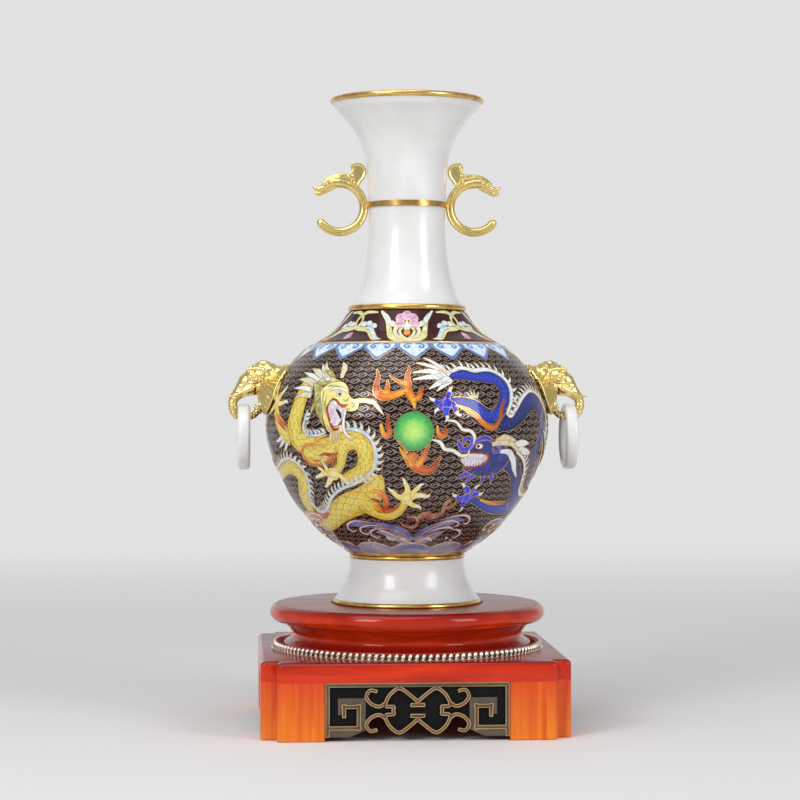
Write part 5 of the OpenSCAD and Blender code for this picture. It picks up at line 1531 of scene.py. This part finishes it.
curl_place = Vector((41.3, 0, 313.75)) * mm
curl_radius = 14.8
band_radius = 2.75
groove = 0.62
bm = bmesh.new()
band = bmesh.new()
for v in bmesh.ops.create_circle(band, segments=40, radius=band_radius * mm)["verts"]:
    turn = abs(degrees(atan2(v.co.y, v.co.x)))
    if 52 < turn < 80:
        v.co *= groove
    v.co.x += curl_radius * mm
bmesh.ops.rotate(band, cent=(0, 0, 0), matrix=Matrix.Rotation(radians(-86), 3, "Y"), verts=band.verts)
bmesh.ops.spin(band, geom=band.verts[:] + band.edges[:], cent=(0, 0, 0), axis=(0, -1, 0),
               angle=radians(235), steps=64)
bmesh.ops.holes_fill(band, edges=[e for e in band.edges if e.is_boundary], sides=0)
bmesh.ops.recalc_face_normals(band, faces=band.faces)
join(bm, band)
tip = radians(321)
waxed(bm, [(curl_radius * cos(tip), 0, curl_radius * sin(tip), 2.6)])
waxed(bm, [(-4, 0, 14.4, 2.8), (0, 0, 15.2, 3.0), (4, 0, 15.0, 3.0), (7.4, 0, 13.6, 2.6),
           (10.4, 0, 11.6, 2.1), (13.2, 0, 11.0, 1.7), (15.2, 0, 12.1, 1.25)], spacing=0.3)
waxed(bm, [(-6.4, 0, 16.8, 2.0), (0, 0, 17.8, 2.1), (4.4, 0, 17.0, 2.0), (7.4, 0, 15.6, 1.7),
           (10, 0, 13.8, 1.2)], spacing=0.3)
waxed(bm, [(-8.4, 0, 18.4, 1.2), (-5, 0, 19.8, 0.9), (0, 0, 20.0, 0.85), (4.4, 0, 19.2, 0.85),
           (7.8, 0, 17.2, 0.85), (10.4, 0, 15.0, 0.7)], spacing=0.3)
waxed(bm, [(4.0, 0, 12.6, 1.7), (8.8, 0, 10.0, 1.5), (12.2, 0, 8.3, 1.3), (14.8, 0, 8.6, 0.95)],
      spacing=0.3)
mane_rim = smooth_line([(-5.6, 19.8), (-7.8, 22.0), (-8.4, 24.4), (-7.5, 26.2), (-10.5, 26.7),
                        (-13.4, 26.1), (-15.1, 24.3), (-15.6, 21.7), (-14.7, 18.6), (-12.7, 15.9),
                        (-10.8, 13.0)], 5)
for s in (-1, 1):
    waxed(bm, [(6.6, s * 2.2, 16.2, 0.7), (8.6, s * 2.1, 15.1, 0.8), (10.4, s * 1.7, 13.5, 0.6)])
    waxed(bm, [(7.2, s * 2.3, 14.2, 0.6)])
    waxed(bm, [(13.8, s * 1.0, 11.6, 0.6)])
    waxed(bm, [(p.x, s * 0.6, p.y, 0.75) for p in mane_rim], spacing=0.35)
for p in mane_rim[6:-6]:
    waxed(bm, [(-9.6, 0, 15.0, 0.9), (p.x, 0, p.y, 0.85)])
waxed(bm, [(-20, 0, 1.5, 1.5), (-15, 0, 1.5, 1.5)], spacing=0.3)
handle_wax = cast("dragon_handle", bm, 0.28, 5)
both_sides(handle_wax, curl_place, "dragon_handle_right", "dragon_handle_left", cast_gilt)

# ---- Loose rings ----------------------------------------------------------
# Flat-sided rings of the same pale stone hang in the crook of each trunk.

ring_thick = 4.75 * mm
for side, node in (("left", "loose_ring_left"), ("right", "loose_ring_right")):
    lo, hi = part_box(node)
    centre = (lo + hi) / 2
    outer, half_w = (hi.z - lo.z) / 2, (hi.x - lo.x) / 2
    inner = outer - ring_thick
    bm = bmesh.new()
    corners = ((-half_w, 0, inner), (-half_w, 0, outer), (half_w, 0, outer), (half_w, 0, inner))
    verts = [bm.verts.new(corner) for corner in corners]
    edges = [bm.edges.new((verts[i], verts[(i + 1) % 4])) for i in range(4)]
    bmesh.ops.spin(bm, geom=verts + edges, cent=(0, 0, 0), axis=(1, 0, 0), angle=2 * pi, steps=96,
                   use_merge=True)
    bmesh.ops.recalc_face_normals(bm, faces=bm.faces)
    rims = [e for e in bm.edges
            if abs(e.verts[0].co.x - e.verts[1].co.x) < 1e-6 and e.calc_face_angle(0) > 1]
    bmesh.ops.bevel(bm, geom=rims, offset=2.1 * mm, segments=6, profile=0.5, affect="EDGES", material=-1)
    bmesh.ops.translate(bm, vec=centre, verts=bm.verts)
    piece = add_object(node + "_polished", bm, stone)
    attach(piece, "ring_" + side)
    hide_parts(node)

# ---- Carried-over hardware ------------------------------------------------
# The bearing, its screws and balls, the pivot and tie rod with their nuts and the
# washers are plated steel; the bush is brass.

zinc = speckled("bright_zinc", (0.42, 0.43, 0.45), (0.66, 0.67, 0.70), 0.25, 0.45, 1.0, 260)
ball_steel = speckled("ball_steel", (0.55, 0.56, 0.58), (0.66, 0.67, 0.69), 0.08, 0.16, 1.0, 120)
rod_steel = speckled("rod_steel", (0.34, 0.34, 0.35), (0.52, 0.52, 0.53), 0.3, 0.5, 1.0, 420)
bush_brass = speckled("bush_brass", (0.52, 0.36, 0.14), (0.70, 0.52, 0.24), 0.25, 0.4, 1.0, 200)
kept_finish = {"deck_board": deck_wood, "dowels": dowel_wood, "bearing_balls": ball_steel,
               "bushing": bush_brass, "tie_rod": rod_steel, "pivot_bolt": rod_steel,
               "tie_nuts": rod_steel, "pivot_nut": rod_steel}
for side in ("front", "right", "back", "left"):
    kept_finish["backing_" + side] = black_plate
for node in ("race_lower", "race_lower_screws", "race_upper", "race_upper_screws", "head_nuts",
             "head_washers", "tie_washers"):
    kept_finish[node] = zinc
for node, cad_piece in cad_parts.items():
    cad_piece.data.materials.clear()
    cad_piece.data.materials.append(kept_finish.get(node, gilt))
